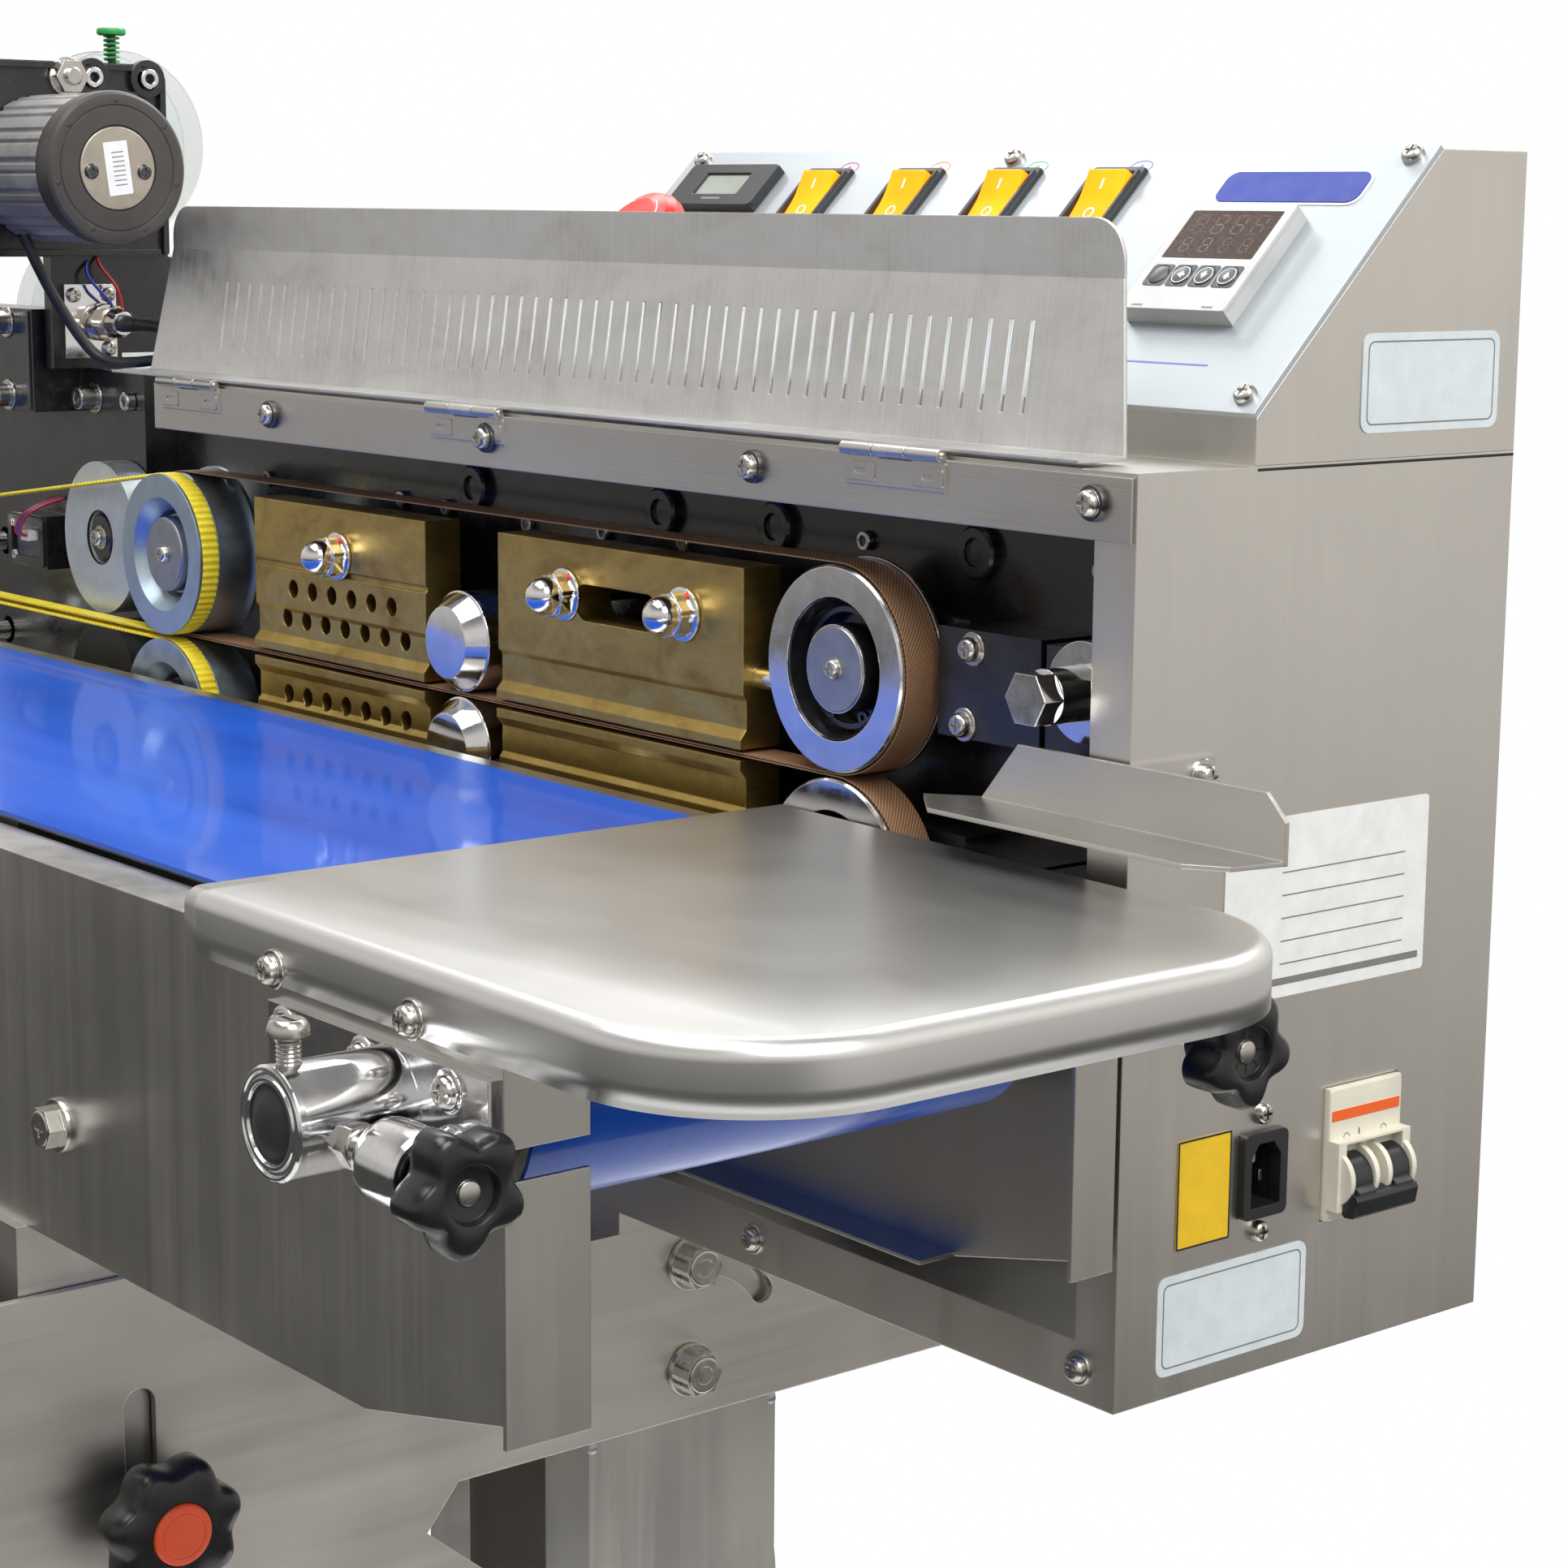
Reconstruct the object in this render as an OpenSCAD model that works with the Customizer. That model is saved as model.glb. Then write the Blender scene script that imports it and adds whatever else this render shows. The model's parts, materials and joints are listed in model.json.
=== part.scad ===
// Continuous band sealer with belt conveyor, tilting head and dry ink coder.
// Directions: +X infeed end, -Y operator side, +Z up.
// Origin: on the floor, under the middle of the machine's bounding box.

/* [Cabinet] */
// Length of the steel cabinet along the sealing line
cab_w = 620; // [600:1:660]
// Depth of the cabinet from its front flange to its back
cab_d = 178; // [176:1:200]
// Height of the cabinet
cab_h = 300; // [298:1:310]
// Thickness of the folded sheet
sheet = 1.5; // [1:0.1:2]
// Height of the floor below the cabinet's underside
floor_drop = 700; // [560:10:900]

/* [Control box] */
// Length of the control box on top of the cabinet
box_w = 396; // [394:1:420]
// Distance of the control box behind the cabinet's front
box_y = 51.5; // [50:0.5:54]
// Height of the upright lip under the sloping panel
box_lip = 15; // [12:1:20]
// Length of the sloping panel, measured up the slope
panel_len = 118.8; // [118:0.1:121]

/* [Sealing line] */
// Height of the sealing line above the cabinet's underside
nip_z = 184.5; // [183:0.5:186]
// Distance of the idler wheels from the infeed side
idler_x = 154; // [150:1:156]
// Distance of the drive wheels from the infeed side
drive_x = 616; // [612:1:620]
// Radius of the band wheels under the band
wheel_r = 36.2; // [35:0.1:36.5]
// Width of the sealing band
band_w = 15; // [12:1:15]
// Width of the yellow guide belt
guide_w = 8; // [6:1:8]
// Distance of the guide pulleys from the infeed side
pulley_x = 841; // [835:1:850]

/* [Conveyor] */
// Height of the conveyor belt's upper face above the cabinet's underside
belt_z = 170; // [168:0.5:171]
// Width of the conveyor belt
belt_w = 186; // [180:1:188]
// Outer width of the conveyor frame
frame_w = 228; // [226:1:230]
// Length of the infeed tray
tray_w = 264; // [250:1:270]

/* [Motion] */
// Opening slots in the front cover
slot_count = 53; // [20:1:53]
// Sweep of the curved tilt slot in the yoke plates
tilt_sweep = 56; // [52:1:60]

/* [Hidden] */
$fn = 48;

eps = 0.01;                          // overlap that joins touching shapes
gap = 0.3;                           // clearance between a wheel and its belt
fit = 0.05;                          // radial clearance of a shaft in its bore
plate_t = 3;                         // thickness of the heavy steel plates
flange_w = 18;                       // width of the cabinet's front side flange
strip_h = 20;                        // height of the strips above and below the opening

tray_end = 101;                      // infeed end of the tray, beyond the cabinet
pulley_r = 20.3;                     // guide pulley under its belt
guide_t = 1.8;                       // guide belt thickness
band_t = 0.6;                        // sealing band thickness
left_end = -pulley_x - pulley_r - gap - guide_t;
base_len = 620;                      // length of the floor beams, front to back
base_mid = 10;                       // middle of the floor beams behind the cabinet front
shift = [-(left_end + tray_end) / 2, -base_mid, floor_drop];

// sealing line
band_out_r = wheel_r + gap + band_t;
nip_gap = 0.2;
upper_z = nip_z + nip_gap + band_out_r;
lower_z = nip_z - nip_gap - band_out_r;
guide_land_r = wheel_r - 1.4;        // bottom of the drive wheel's guide belt groove
guide_out_r = guide_land_r + gap + guide_t;
pulley_rise = nip_gap + pulley_r + gap + guide_t + (band_out_r - guide_out_r);
drive_face = -2;                     // front face of the drive wheels
idler_face = 8.5;                    // front face of the idler wheels
band_y = 10.5;                       // front edge of the sealing band
guide_y = drive_face + 1.5;          // front edge of the guide belt
wheel_back = band_y + band_w + gap;
mech_y = 46;                         // front of the black mechanism plate
mech_t = 6;

// heating and cooling blocks
block_y = 10;
block_t = 17;
heat_x = [-362, -206];
cool_x = [-552, -415];
block_top = 252;
block_foot = nip_z + nip_gap + band_t + gap + 0.9;
stud_r = 4;
stud_z = 232;
heat_stud_x = [-316, -241];
cool_stud_x = [-482];
roller_x = -389;
roller_r = 20.4;
press_rise = nip_gap + band_t + gap + roller_r;
adjust_x = -34;                      // band tension screws

// coder
slab_y = 30;                         // front of the slab that carries the coder
print_x = -706;
print_face = 14;
print_r = 36;
print_z = 221;
inker_r = 33;
inker_z = 148;
caster_x = -748;                     // back face of the upright coder casting
caster_t = 8;
motor_end = -664;
motor_y = 7;
motor_z = 393;
motor_r = 34;
reel_r = 45;
reel_up = [-775, 57, 405];
reel_low = [-845, 87, 321];
reel_w = 18;

// front cover
hinge_y = -3.8;
hinge_z = 300;
hinge_x = [-585, -365, -110];
hinge_len = 50;
knuckle_r = 2.2;
pin_r = 1;
cover_x = [-660, -25];
cover_flange = 20;
cover_rise = 56;
cover_lip = 19;
cover_taper = 10;
cover_lean = 8;
cover_t = 1.2;
cover_foot = 301.4;                  // underside of the open cover's flange
cover_top = cover_foot + cover_rise + cover_lip;
slot_w = 2;
slot_h = 30;
slot_pitch = 523 / 52;
slot_mid = -335.5;

// control panel features, in the panel's own frame
panel_tilt = 45;
panel_t = 2;
rocker_x = [-297.5, -244, -190.5, -137];
rocker_s = 91.5;
bezel_w = 25.5;
bezel_l = 31;
rocker_w = 19.4;
rocker_l = 23.2;
rocker_tilt = 13;
estop_at = [-342, 46];
temp_at = [-58, 60];
temp_size = 48;
counter_at = [-355.5, 96];
key_r = 4;
key_s = -9;
function key_x(k) = -15.6 + 10.4 * k;

// conveyor
conv_mid = -8 - frame_w / 2;
belt_t = 1.5;
roller_out = 36;
conv_roller_z = belt_z - roller_out;
conv_roller_r = roller_out - belt_t - gap;
idle_x = -46;
tail_x = -800;
conv_x = [-845, 6];
conv_z = [37.5, 166];
belt_y = conv_mid - belt_w / 2;
post_x = [-401.5, -282.5];
post_y = [-240, -185];
clamp_at = [-198, -72];
rod_front = [-260, 129];
rod_back = [-18.5, 137];
knob_r = 18;

// stand
pivot = [42, -75];
lock_r = 44;
bolt_r = 5;
yoke_in = [-402.5, -281.5];
col_x = [-399, -284];
col_y = [-3, 90];
col_t = 2.5;
col_top_r = 52;

// helpers ------------------------------------------------------------------

// places a child drawn from the cabinet's corner on the machine's origin
module datum() { translate(shift) children(); }

// extrudes a shape drawn in (Y, Z) along X
module along_x(x0, x1) {
  translate([x0, 0, 0]) rotate([90, 0, 90]) linear_extrude(x1 - x0) children();
}

// extrudes a shape drawn in (X, Z) along Y
module along_y(y0, y1) {
  translate([0, y1, 0]) rotate([90, 0, 0]) linear_extrude(y1 - y0) children();
}

module rod_x(x0, x1, y, z, r) { along_x(x0, x1) translate([y, z]) circle(r); }

module rod_y(y0, y1, x, z, r) { along_y(y0, y1) translate([x, z]) circle(r); }

// box given by its lowest and highest corners
module block(a, b) { translate(a) cube(b - a); }

// turned piece about an axis along Y, from [radius, y] points
module turned_y(x, z, points) {
  translate([x, 0, z]) rotate([-90, 0, 0]) rotate_extrude($fn = 96) polygon(points);
}

// turned piece about an axis along X, from [radius, x] points
module turned_x(y, z, points) {
  translate([0, y, z]) rotate([0, 90, 0]) rotate_extrude($fn = 96) polygon(points);
}

// outline of a belt round two wheels of one radius, centred on height z
module stadium(xa, xb, z, r) {
  translate([xa, z]) circle(r, $fn = 96);
  translate([xb, z]) circle(r, $fn = 96);
  translate([min(xa, xb), z - r]) square([abs(xb - xa), 2 * r]);
}

// outline of an open belt round two wheels of different radius
module belt_outline(a, ra, b, rb) {
  along = b - a;
  dist = norm(along);
  turn = atan2(along[1], along[0]);
  open = acos((ra - rb) / dist);
  translate(a) circle(ra, $fn = 96);
  translate(b) circle(rb, $fn = 96);
  polygon([
    a + ra * [cos(turn + open), sin(turn + open)],
    b + rb * [cos(turn + open), sin(turn + open)],
    b + rb * [cos(turn - open), sin(turn - open)],
    a + ra * [cos(turn - open), sin(turn - open)]]);
}

// slot outline with round ends, from a to b
module slot2d(a, b, w) {
  d = b - a;
  translate(a) circle(w / 2, $fn = 16);
  translate(b) circle(w / 2, $fn = 16);
  translate(a) rotate(atan2(d[1], d[0])) translate([0, -w / 2]) square([norm(d), w]);
}

function dir2(a) = [cos(a), sin(a)];

module hexagon(flats) { circle(flats / sqrt(3), $fn = 6); }

// places a child on the sloping control panel: x along, y up the slope, z out
module on_panel() {
  translate([0, box_y, cab_h + box_lip]) rotate([panel_tilt, 0, 0]) children();
}

// points of a smooth tube along a route, and the tube itself
function unit(v) = v / norm(v);
function tangent(p, i) =
  unit(p[min(i + 1, len(p) - 1)] - p[max(i - 1, 0)]);
function side_dir(t) =
  unit(cross(t, abs(t[2]) < 0.8 ? [0, 0, 1] : [0, 1, 0]));
module tube(points, r, sides = 8) {
  rings = len(points);
  verts = [for (i = [0 : rings - 1])
    let (t = tangent(points, i), u = side_dir(t), v = cross(t, u))
      for (k = [0 : sides - 1])
        points[i] + r * (cos(360 * k / sides) * u + sin(360 * k / sides) * v)];
  walls = [for (i = [0 : rings - 2], k = [0 : sides - 1])
    [i * sides + k, i * sides + (k + 1) % sides,
     (i + 1) * sides + (k + 1) % sides, (i + 1) * sides + k]];
  first = [for (k = [sides - 1 : -1 : 0]) k];
  last = [for (k = [0 : sides - 1]) (rings - 1) * sides + k];
  polyhedron(verts, concat([first], walls, [last]));
}

// five-lobed hand knob outline
module star(r) {
  difference() {
    circle(r, $fn = 60);
    for (k = [0 : 4]) rotate(72 * k + 36) translate([r * 1.18, 0]) circle(r * 0.42, $fn = 32);
  }
}

// stand --------------------------------------------------------------------

beam_x = [-571, -111];
beam_h = 40;
beam_wide = 60;
foot_h = 20;

module base_frame() {
  z = -floor_drop + foot_h;
  y0 = base_mid - base_len / 2;
  color("silver") datum() {
    for (x = beam_x) {
      difference() {
        block([x - beam_wide / 2, y0, z], [x + beam_wide / 2, y0 + base_len, z + beam_h]);
        block([x - beam_wide / 2 + plate_t, y0 + plate_t, z + plate_t],
              [x + beam_wide / 2 - plate_t, y0 + base_len - plate_t, z + beam_h - plate_t]);
        for (y = [y0 + 40, y0 + base_len - 40])
          translate([x, y, z - eps]) cylinder(h = plate_t + 2 * eps, r = 4);
      }
    }
    difference() {
      block([beam_x[0] + beam_wide / 2, 8, z], [beam_x[1] - beam_wide / 2, 78, z + beam_h]);
      block([beam_x[0] + beam_wide / 2 - eps, 11, z + plate_t],
            [beam_x[1] - beam_wide / 2 + eps, 75, z + beam_h - plate_t]);
    }
    // foot plate that the column is welded to
    block([-430, -30, z + beam_h], [-253, 117, z + beam_h + 6]);
  }
}

module levelling_feet() {
  z = -floor_drop;
  y0 = base_mid - base_len / 2;
  color("dimgray") datum()
    for (x = beam_x, y = [y0 + 40, y0 + base_len - 40]) {
      translate([x, y, z]) cylinder(h = 12, r1 = 22, r2 = 16);
      translate([x, y, z + 12]) cylinder(h = 8, r = 9, $fn = 6);
      translate([x, y, z + 20 - eps]) cylinder(h = 12, r = 4);
    }
}

// plan of the lipped channel that the column is folded from
module column_plan() {
  w = col_x[1] - col_x[0];
  d = col_y[1] - col_y[0];
  lip = 30;
  difference() {
    translate([col_x[0], col_y[0]]) square([w, d]);
    translate([col_x[0] + col_t, col_y[0] + col_t]) square([w - 2 * col_t, d - 2 * col_t]);
    translate([col_x[0] + lip, col_y[0] - eps]) square([w - 2 * lip, col_t + 2 * eps]);
  }
}

module column() {
  foot = -floor_drop + foot_h + beam_h + 6;
  color("silver") datum() difference() {
    union() {
      intersection() {
        translate([0, 0, foot]) linear_extrude(-foot) column_plan();
        // the column's head is rounded so that the yoke can swing over it
        along_x(col_x[0] - 1, col_x[1] + 1) {
          translate(pivot) circle(col_top_r, $fn = 96);
          translate([col_y[0] - 1, foot - 1]) square([col_y[1] - col_y[0] + 2, pivot[1] - foot + 1]);
        }
      }
      // gusset behind the column
      along_x(-300, -297) polygon([[col_y[1] - eps, -92], [col_y[1] + 11, -176],
        [col_y[1] + 45, foot], [col_y[1] - eps, foot]]);
    }
    for (z = [pivot[1], pivot[1] + lock_r])
      rod_x(col_x[0] - 1, col_x[1] + 1, pivot[0], z, bolt_r - eps);
  }
}

// one hexagon bolt with a washer, its head towards dir along X
module tilt_bolt(x, dir, z) {
  head = 7;
  washer = 2;
  translate([x, pivot[0], z]) rotate([0, 90 * dir, 0]) {
    cylinder(h = washer, r = 10.5);
    translate([0, 0, washer]) linear_extrude(head) hexagon(15);
    translate([0, 0, -12]) cylinder(h = 12 + eps, r = bolt_r);
  }
}

module tilt_bolts() {
  color("gainsboro") datum()
    for (z = [pivot[1], pivot[1] + lock_r]) {
      tilt_bolt(yoke_in[1] + plate_t + 0.2, 1, z);
      tilt_bolt(yoke_in[0] - plate_t - 0.2, -1, z);
    }
}

// curved slot about the pivot, from straight up towards the back
module tilt_slot() {
  w = bolt_r + 0.3;
  steps = 14;
  translate(pivot) polygon(concat(
    [for (k = [0 : steps]) (lock_r + w) * dir2(90 - tilt_sweep * k / steps)],
    [for (k = [1 : 5]) lock_r * dir2(90 - tilt_sweep) + w * dir2(90 - tilt_sweep - 30 * k)],
    [for (k = [steps : -1 : 0]) (lock_r - w) * dir2(90 - tilt_sweep * k / steps)],
    [for (k = [1 : 5]) lock_r * dir2(90) + w * dir2(270 - 30 * k)]));
}

yoke_front = -262;
yoke_step = -150;
yoke_rear = 176;
yoke_top = [13, -13];
yoke_low = [-175, -95];

module yoke_plate() {
  difference() {
    polygon([[yoke_front, yoke_top[0]], [yoke_step, yoke_top[0]],
      [yoke_step + 8, yoke_top[1]], [yoke_rear, yoke_top[1]],
      [yoke_rear, yoke_low[1]], [-67, yoke_low[1]], [-81, -112],
      [-20, -163], [-20, yoke_low[0]], [yoke_front, yoke_low[0]]]);
    tilt_slot();
    translate(pivot) circle(bolt_r + fit);
    slot2d([clamp_at[0], -34], [clamp_at[0], -122], 12);
  }
}

module yoke_frame() {
  color("silver") datum() {
    along_x(yoke_in[1], yoke_in[1] + plate_t) yoke_plate();
    along_x(yoke_in[0] - plate_t, yoke_in[0]) yoke_plate();
    // web over the column, front wall and pads under the cabinet
    block([yoke_in[0] - 1, yoke_step + 10, -17], [yoke_in[1] + 1, yoke_rear - 2, -14]);
    block([yoke_in[0] - 1, yoke_front + 0.5, yoke_low[0] + 1], [yoke_in[1] + 1, yoke_front + 3, 12]);
    for (y = [8, 140])
      block([yoke_in[0] - plate_t + 0.5, y, yoke_top[1] - 2], [yoke_in[1] + plate_t - 0.5, y + 24, 0]);
  }
}

// cabinet ------------------------------------------------------------------

module cabinet_shell() {
  t = sheet;
  color("lightgray") datum() difference() {
    union() {
      block([-cab_w, 0, 0], [0, cab_d, t]);
      block([-cab_w, 0, cab_h - t], [0, cab_d, cab_h]);
      block([-t, 0, 0], [0, cab_d, cab_h]);
      block([-cab_w, 0, 0], [-cab_w + t, cab_d, cab_h]);
      block([-flange_w, 0, 0], [0, t, cab_h]);
      block([-cab_w, 0, 0], [0, t, strip_h]);
      // inward flanges that the back cover screws to
      block([-cab_w, cab_d - t, 0], [0, cab_d, 14]);
      block([-cab_w, cab_d - t, cab_h - 14], [0, cab_d, cab_h]);
      block([-14, cab_d - t, 0], [0, cab_d, cab_h]);
      block([-cab_w, cab_d - t, 0], [-cab_w + 14, cab_d, cab_h]);
    }
    // the mechanism passes out through the left wall
    block([-cab_w - 1, -1, 88], [-cab_w + t + eps, 70, 278]);
    // windows for the power inlet and the circuit breaker
    block([-t - 1, 54.5, 54.5], [1, 74.5, 82.5]);
    for (z = [48.7, 88.7]) rod_x(-t - 1, 1, 64.5, z, 3 + fit);
    block([-t - 1, 95, 45.5], [1, 132, 92]);
  }
}

module screw_y(x, y, z, r, h) {
  translate([x, y, z]) rotate([90, 0, 0]) {
    cylinder(h = 0.8, r = r * 1.35);
    translate([0, 0, 0.8]) cylinder(h = h, r = r);
  }
}

module hinge_rail() {
  color("silver") datum() {
    block([-cab_w + 1, -sheet, cab_h - 21.5], [-1, 0, cab_h - 1.5]);
    for (x = [-515.7, -351.1, -185.7, -16.8]) screw_y(x, -sheet, 290, 3.8, 3.4);
    for (x = hinge_x) {
      block([x - hinge_len / 2, -sheet - 1.1, cab_h - 12], [x + hinge_len / 2, -sheet, cab_h - 2.7]);
      for (s = [-1, 1])
        difference() {
          block([x + s * hinge_len / 3 - hinge_len / 6 + 0.3, -sheet - 1.1, cab_h - 2.8],
                [x + s * hinge_len / 3 + hinge_len / 6 - 0.3, -sheet, cab_h]);
          rod_x(x - hinge_len, x + hinge_len, hinge_y, hinge_z, pin_r - eps);
        }
      for (s = [-1, 1])
        difference() {
          rod_x(x + s * hinge_len / 3 - hinge_len / 6 + 0.3, x + s * hinge_len / 3 + hinge_len / 6 - 0.3,
            hinge_y, hinge_z, knuckle_r);
          rod_x(x - hinge_len, x + hinge_len, hinge_y, hinge_z, pin_r - eps);
        }
      rod_x(x - hinge_len / 2, x + hinge_len / 2, hinge_y, hinge_z, pin_r);
    }
  }
}

module back_cover() {
  color("silver") datum() difference() {
    union() {
      block([-cab_w + 2, cab_d, 2], [-2, cab_d + 1.2, cab_h - 2]);
      for (x = [-cab_w + 9, -9], z = [9, cab_h / 2, cab_h - 9])
        translate([x, cab_d + 1.2 - eps, z]) rotate([-90, 0, 0]) cylinder(h = 2.2, r = 3.5);
    }
    // cooling louvres
    for (col = [0, 1], k = [0 : 9])
      block([-520 + col * 270, cab_d - 1, 90 + k * 10], [-370 + col * 270, cab_d + 2, 93 + k * 10]);
  }
}

// control box ---------------------------------------------------------------

box_rise = panel_len * sin(panel_tilt);
box_top = cab_h + box_lip + box_rise;
slope_end = box_y + panel_len * cos(panel_tilt);

module box_side(inset) {
  polygon([[box_y + inset, cab_h + inset],
    [box_y + inset, cab_h + box_lip - inset * 0.4],
    [slope_end + inset * 0.4, box_top - inset],
    [cab_d - inset, box_top - inset], [cab_d - inset, cab_h + inset]]);
}

module control_box() {
  t = 1.2;
  color("silver") datum() difference() {
    along_x(-box_w, 0) box_side(0);
    along_x(-box_w + t, -t) box_side(t);
    // the slope is open under the control panel
    on_panel() translate([-box_w + 6, 6, -8]) cube([box_w - 12, panel_len - 12, 12]);
    rod_x(-box_w - 1, -box_w + 3, 110, 330, 3.4);
  }
}

module control_panel() {
  color("white") datum() on_panel() difference() {
    union() {
      translate([-box_w, 0, 0]) cube([box_w, panel_len, panel_t]);
      for (x = [-387, -198, -8], s = [7, 113.5])
        if (x != -198 || s > 50) translate([x, s, panel_t - eps]) cylinder(h = 2, r1 = 3.4, r2 = 2.2);
    }
    for (x = rocker_x)
      translate([x - bezel_w / 2 + 2, rocker_s - bezel_l / 2 + 2, -1]) cube([bezel_w - 4, bezel_l - 4, 4]);
    translate([estop_at[0], estop_at[1], -1]) cylinder(h = 4, r = 11);
    translate([temp_at[0] - 22, temp_at[1] - 22, -1]) cube([44, 44, 4]);
    translate([counter_at[0] - 22, counter_at[1] - 8, -1]) cube([44, 16, 4]);
  }
}

module switch_bezels() {
  for (x = rocker_x) translate([x, rocker_s, 0]) difference() {
      union() {
        translate([-bezel_w / 2, -bezel_l / 2, panel_t]) cube([bezel_w, bezel_l, 1.8]);
        translate([-bezel_w / 2 + 2.1, -bezel_l / 2 + 2.1, -18])
          cube([bezel_w - 4.2, bezel_l - 4.2, 18 + panel_t + eps]);
      }
      translate([-rocker_w / 2 - 0.3, -bezel_l / 2 + 2.8, -14])
        cube([rocker_w + 0.6, bezel_l - 5.6, 30]);
    }
}

// rocker side view: up the slope and out of the panel, upper end raised
module rocker_profile() {
  h = rocker_l / 2;
  rotate(rocker_tilt)
    polygon([[-h, -2], [-h, 3.6], [0, 2.2], [h, 3.6], [h, -2], [6, -7], [-6, -7]]);
}

module rocker(i) {
  color("orange") datum() on_panel() translate([rocker_x[i], rocker_s, panel_t])
    rotate([90, 0, 90]) translate([0, 0, -rocker_w / 2]) linear_extrude(rocker_w)
      rocker_profile();
}

module rocker_1() { rocker(0); }
module rocker_2() { rocker(1); }
module rocker_3() { rocker(2); }
module rocker_4() { rocker(3); }

module counter_display() {
  translate([counter_at[0], counter_at[1], panel_t]) {
    difference() {
      translate([-27.5, -11, 0]) cube([55, 22, 4]);
      translate([-14, -5, 3]) cube([28, 11, 2]);
    }
    translate([-21.8, -7.8, -18]) cube([43.6, 15.6, 18 + eps]);
  }
}

module estop_base() {
  translate([estop_at[0], estop_at[1], panel_t]) difference() {
    union() {
      cylinder(h = 3, r = 15);
      translate([0, 0, 3 - eps]) cylinder(h = 9, r = 12.5);
      translate([0, 0, -24]) cylinder(h = 24 + eps, r = 10.8);
    }
    translate([0, 0, -14]) cylinder(h = 44, r = 6 + fit);
  }
}

module panel_fittings() {
  color("dimgray") datum() on_panel() {
    switch_bezels();
    counter_display();
    estop_base();
  }
}

module estop_button() {
  color("red") datum() on_panel() translate([estop_at[0], estop_at[1], panel_t])
    rotate_extrude($fn = 96) polygon([[0, -6], [6, -6], [6, 19], [17, 19], [19.2, 21],
      [20, 25], [19.5, 29], [17, 32], [12, 34], [0, 35]]);
}

module temp_controller() {
  h = temp_size / 2;
  color("darkgray") datum() on_panel() translate([temp_at[0], temp_at[1], panel_t]) difference() {
    union() {
      translate([-h, -h, 0]) cube([temp_size, temp_size, 7]);
      translate([-21.8, -21.8, -46]) cube([43.6, 43.6, 46 + eps]);
    }
    // display window and key wells
    translate([-h + 3.5, -1, 6]) cube([temp_size - 7, 22, 2]);
    for (k = [0 : 3]) translate([key_x(k), key_s, 3.4]) cylinder(h = 5, r = key_r + fit);
  }
}

module key(k) {
  color("dimgray") datum() on_panel() translate([temp_at[0] + key_x(k), temp_at[1] + key_s, panel_t + 4.6])
    cylinder(h = 3, r = key_r);
}

module key_1() { key(0); }
module key_2() { key(1); }
module key_3() { key(2); }
module key_4() { key(3); }

// side fittings ---------------------------------------------------------------

module inlet_socket() {
  color("black") datum() difference() {
    union() {
      block([-26, 54.8, 54.8], [2.5, 74.2, 82.2]);
      block([-4.5, 53, 44], [-sheet, 76, 93]);
      for (z = [48.7, 88.7]) rod_x(-sheet, 2, 64.5, z, 3);
    }
    block([-18, 57.5, 57.5], [4, 71.5, 79.5]);
  }
}

breaker_y = [95.5, 131.5];

module breaker_body() {
  color("ivory") datum() difference() {
    union() {
      block([-62, breaker_y[0], 46], [2, breaker_y[1], 91.5]);
      block([2 - eps, breaker_y[0], 50], [7, breaker_y[1], 74]);
    }
    // groove that the toggles swing in
    block([-16, breaker_y[0] + 4, 51], [9, breaker_y[1] - 4, 73]);
  }
}

module breaker_toggle() {
  color("black") datum() {
    for (y = [breaker_y[0] + 6, breaker_y[1] - 16])
      along_y(y, y + 10) polygon([[-8, 60], [-2, 55], [13, 53], [14, 57], [0, 66], [-6, 66]]);
    block([9, breaker_y[0] + 3, 50], [16, breaker_y[1] - 3, 56]);
  }
}

// mechanism -------------------------------------------------------------------

module mechanism_plate() {
  color([0.09, 0.09, 0.1]) datum() difference() {
    block([-856, mech_y, 92], [-22, mech_y + mech_t, 276]);
    for (x = [-drive_x, -idler_x], z = [upper_z, lower_z])
      rod_y(mech_y - 1, mech_y + mech_t + 1, x, z, 6 + fit);
    for (z = [nip_z + pulley_rise, nip_z - pulley_rise])
      rod_y(mech_y - 1, mech_y + mech_t + 1, -pulley_x, z, 5 + fit);
    for (z = [nip_z + press_rise, nip_z - press_rise])
      rod_y(mech_y - 1, mech_y + mech_t + 1, roller_x, z, 5 + fit);
    for (z = [print_z, inker_z])
      rod_y(mech_y - 1, mech_y + mech_t + 1, print_x, z, 6 + fit);
  }
}

// side view of an upper block: flat face, stepped waist and pressing nose
module block_profile() {
  y = block_y;
  polygon([[y, block_top], [y, 206], [y + 1.6, 204], [y + 1.6, 193.5],
    [y - 1.2, 190], [y - 1.2, block_foot], [y + block_t, block_foot], [y + block_t, block_top]]);
}

// mirrors a child drawn above the sealing line to below it
module below_nip() {
  translate([0, 0, 2 * nip_z]) mirror([0, 0, 1]) children();
}

module stud_holes(list) {
  for (x = list) rod_y(0, 40, x, stud_z, stud_r);
}

module heating_block() {
  difference() {
    along_x(heat_x[0], heat_x[1]) block_profile();
    stud_holes(heat_stud_x);
    along_y(0, 40) slot2d([-303, 230], [-264, 230], 14);
    // bore for the heating core
    rod_x(heat_x[0] - 1, heat_x[1] + 1, block_y + 9, 212, 4.5);
  }
}

module heating_blocks() {
  color([0.66, 0.52, 0.2]) datum() {
    heating_block();
    below_nip() heating_block();
  }
}

module heater_core() {
  rod_x(heat_x[0] + 3, heat_x[1] + 14, block_y + 9, 212, 4.5 - eps);
}

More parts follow.
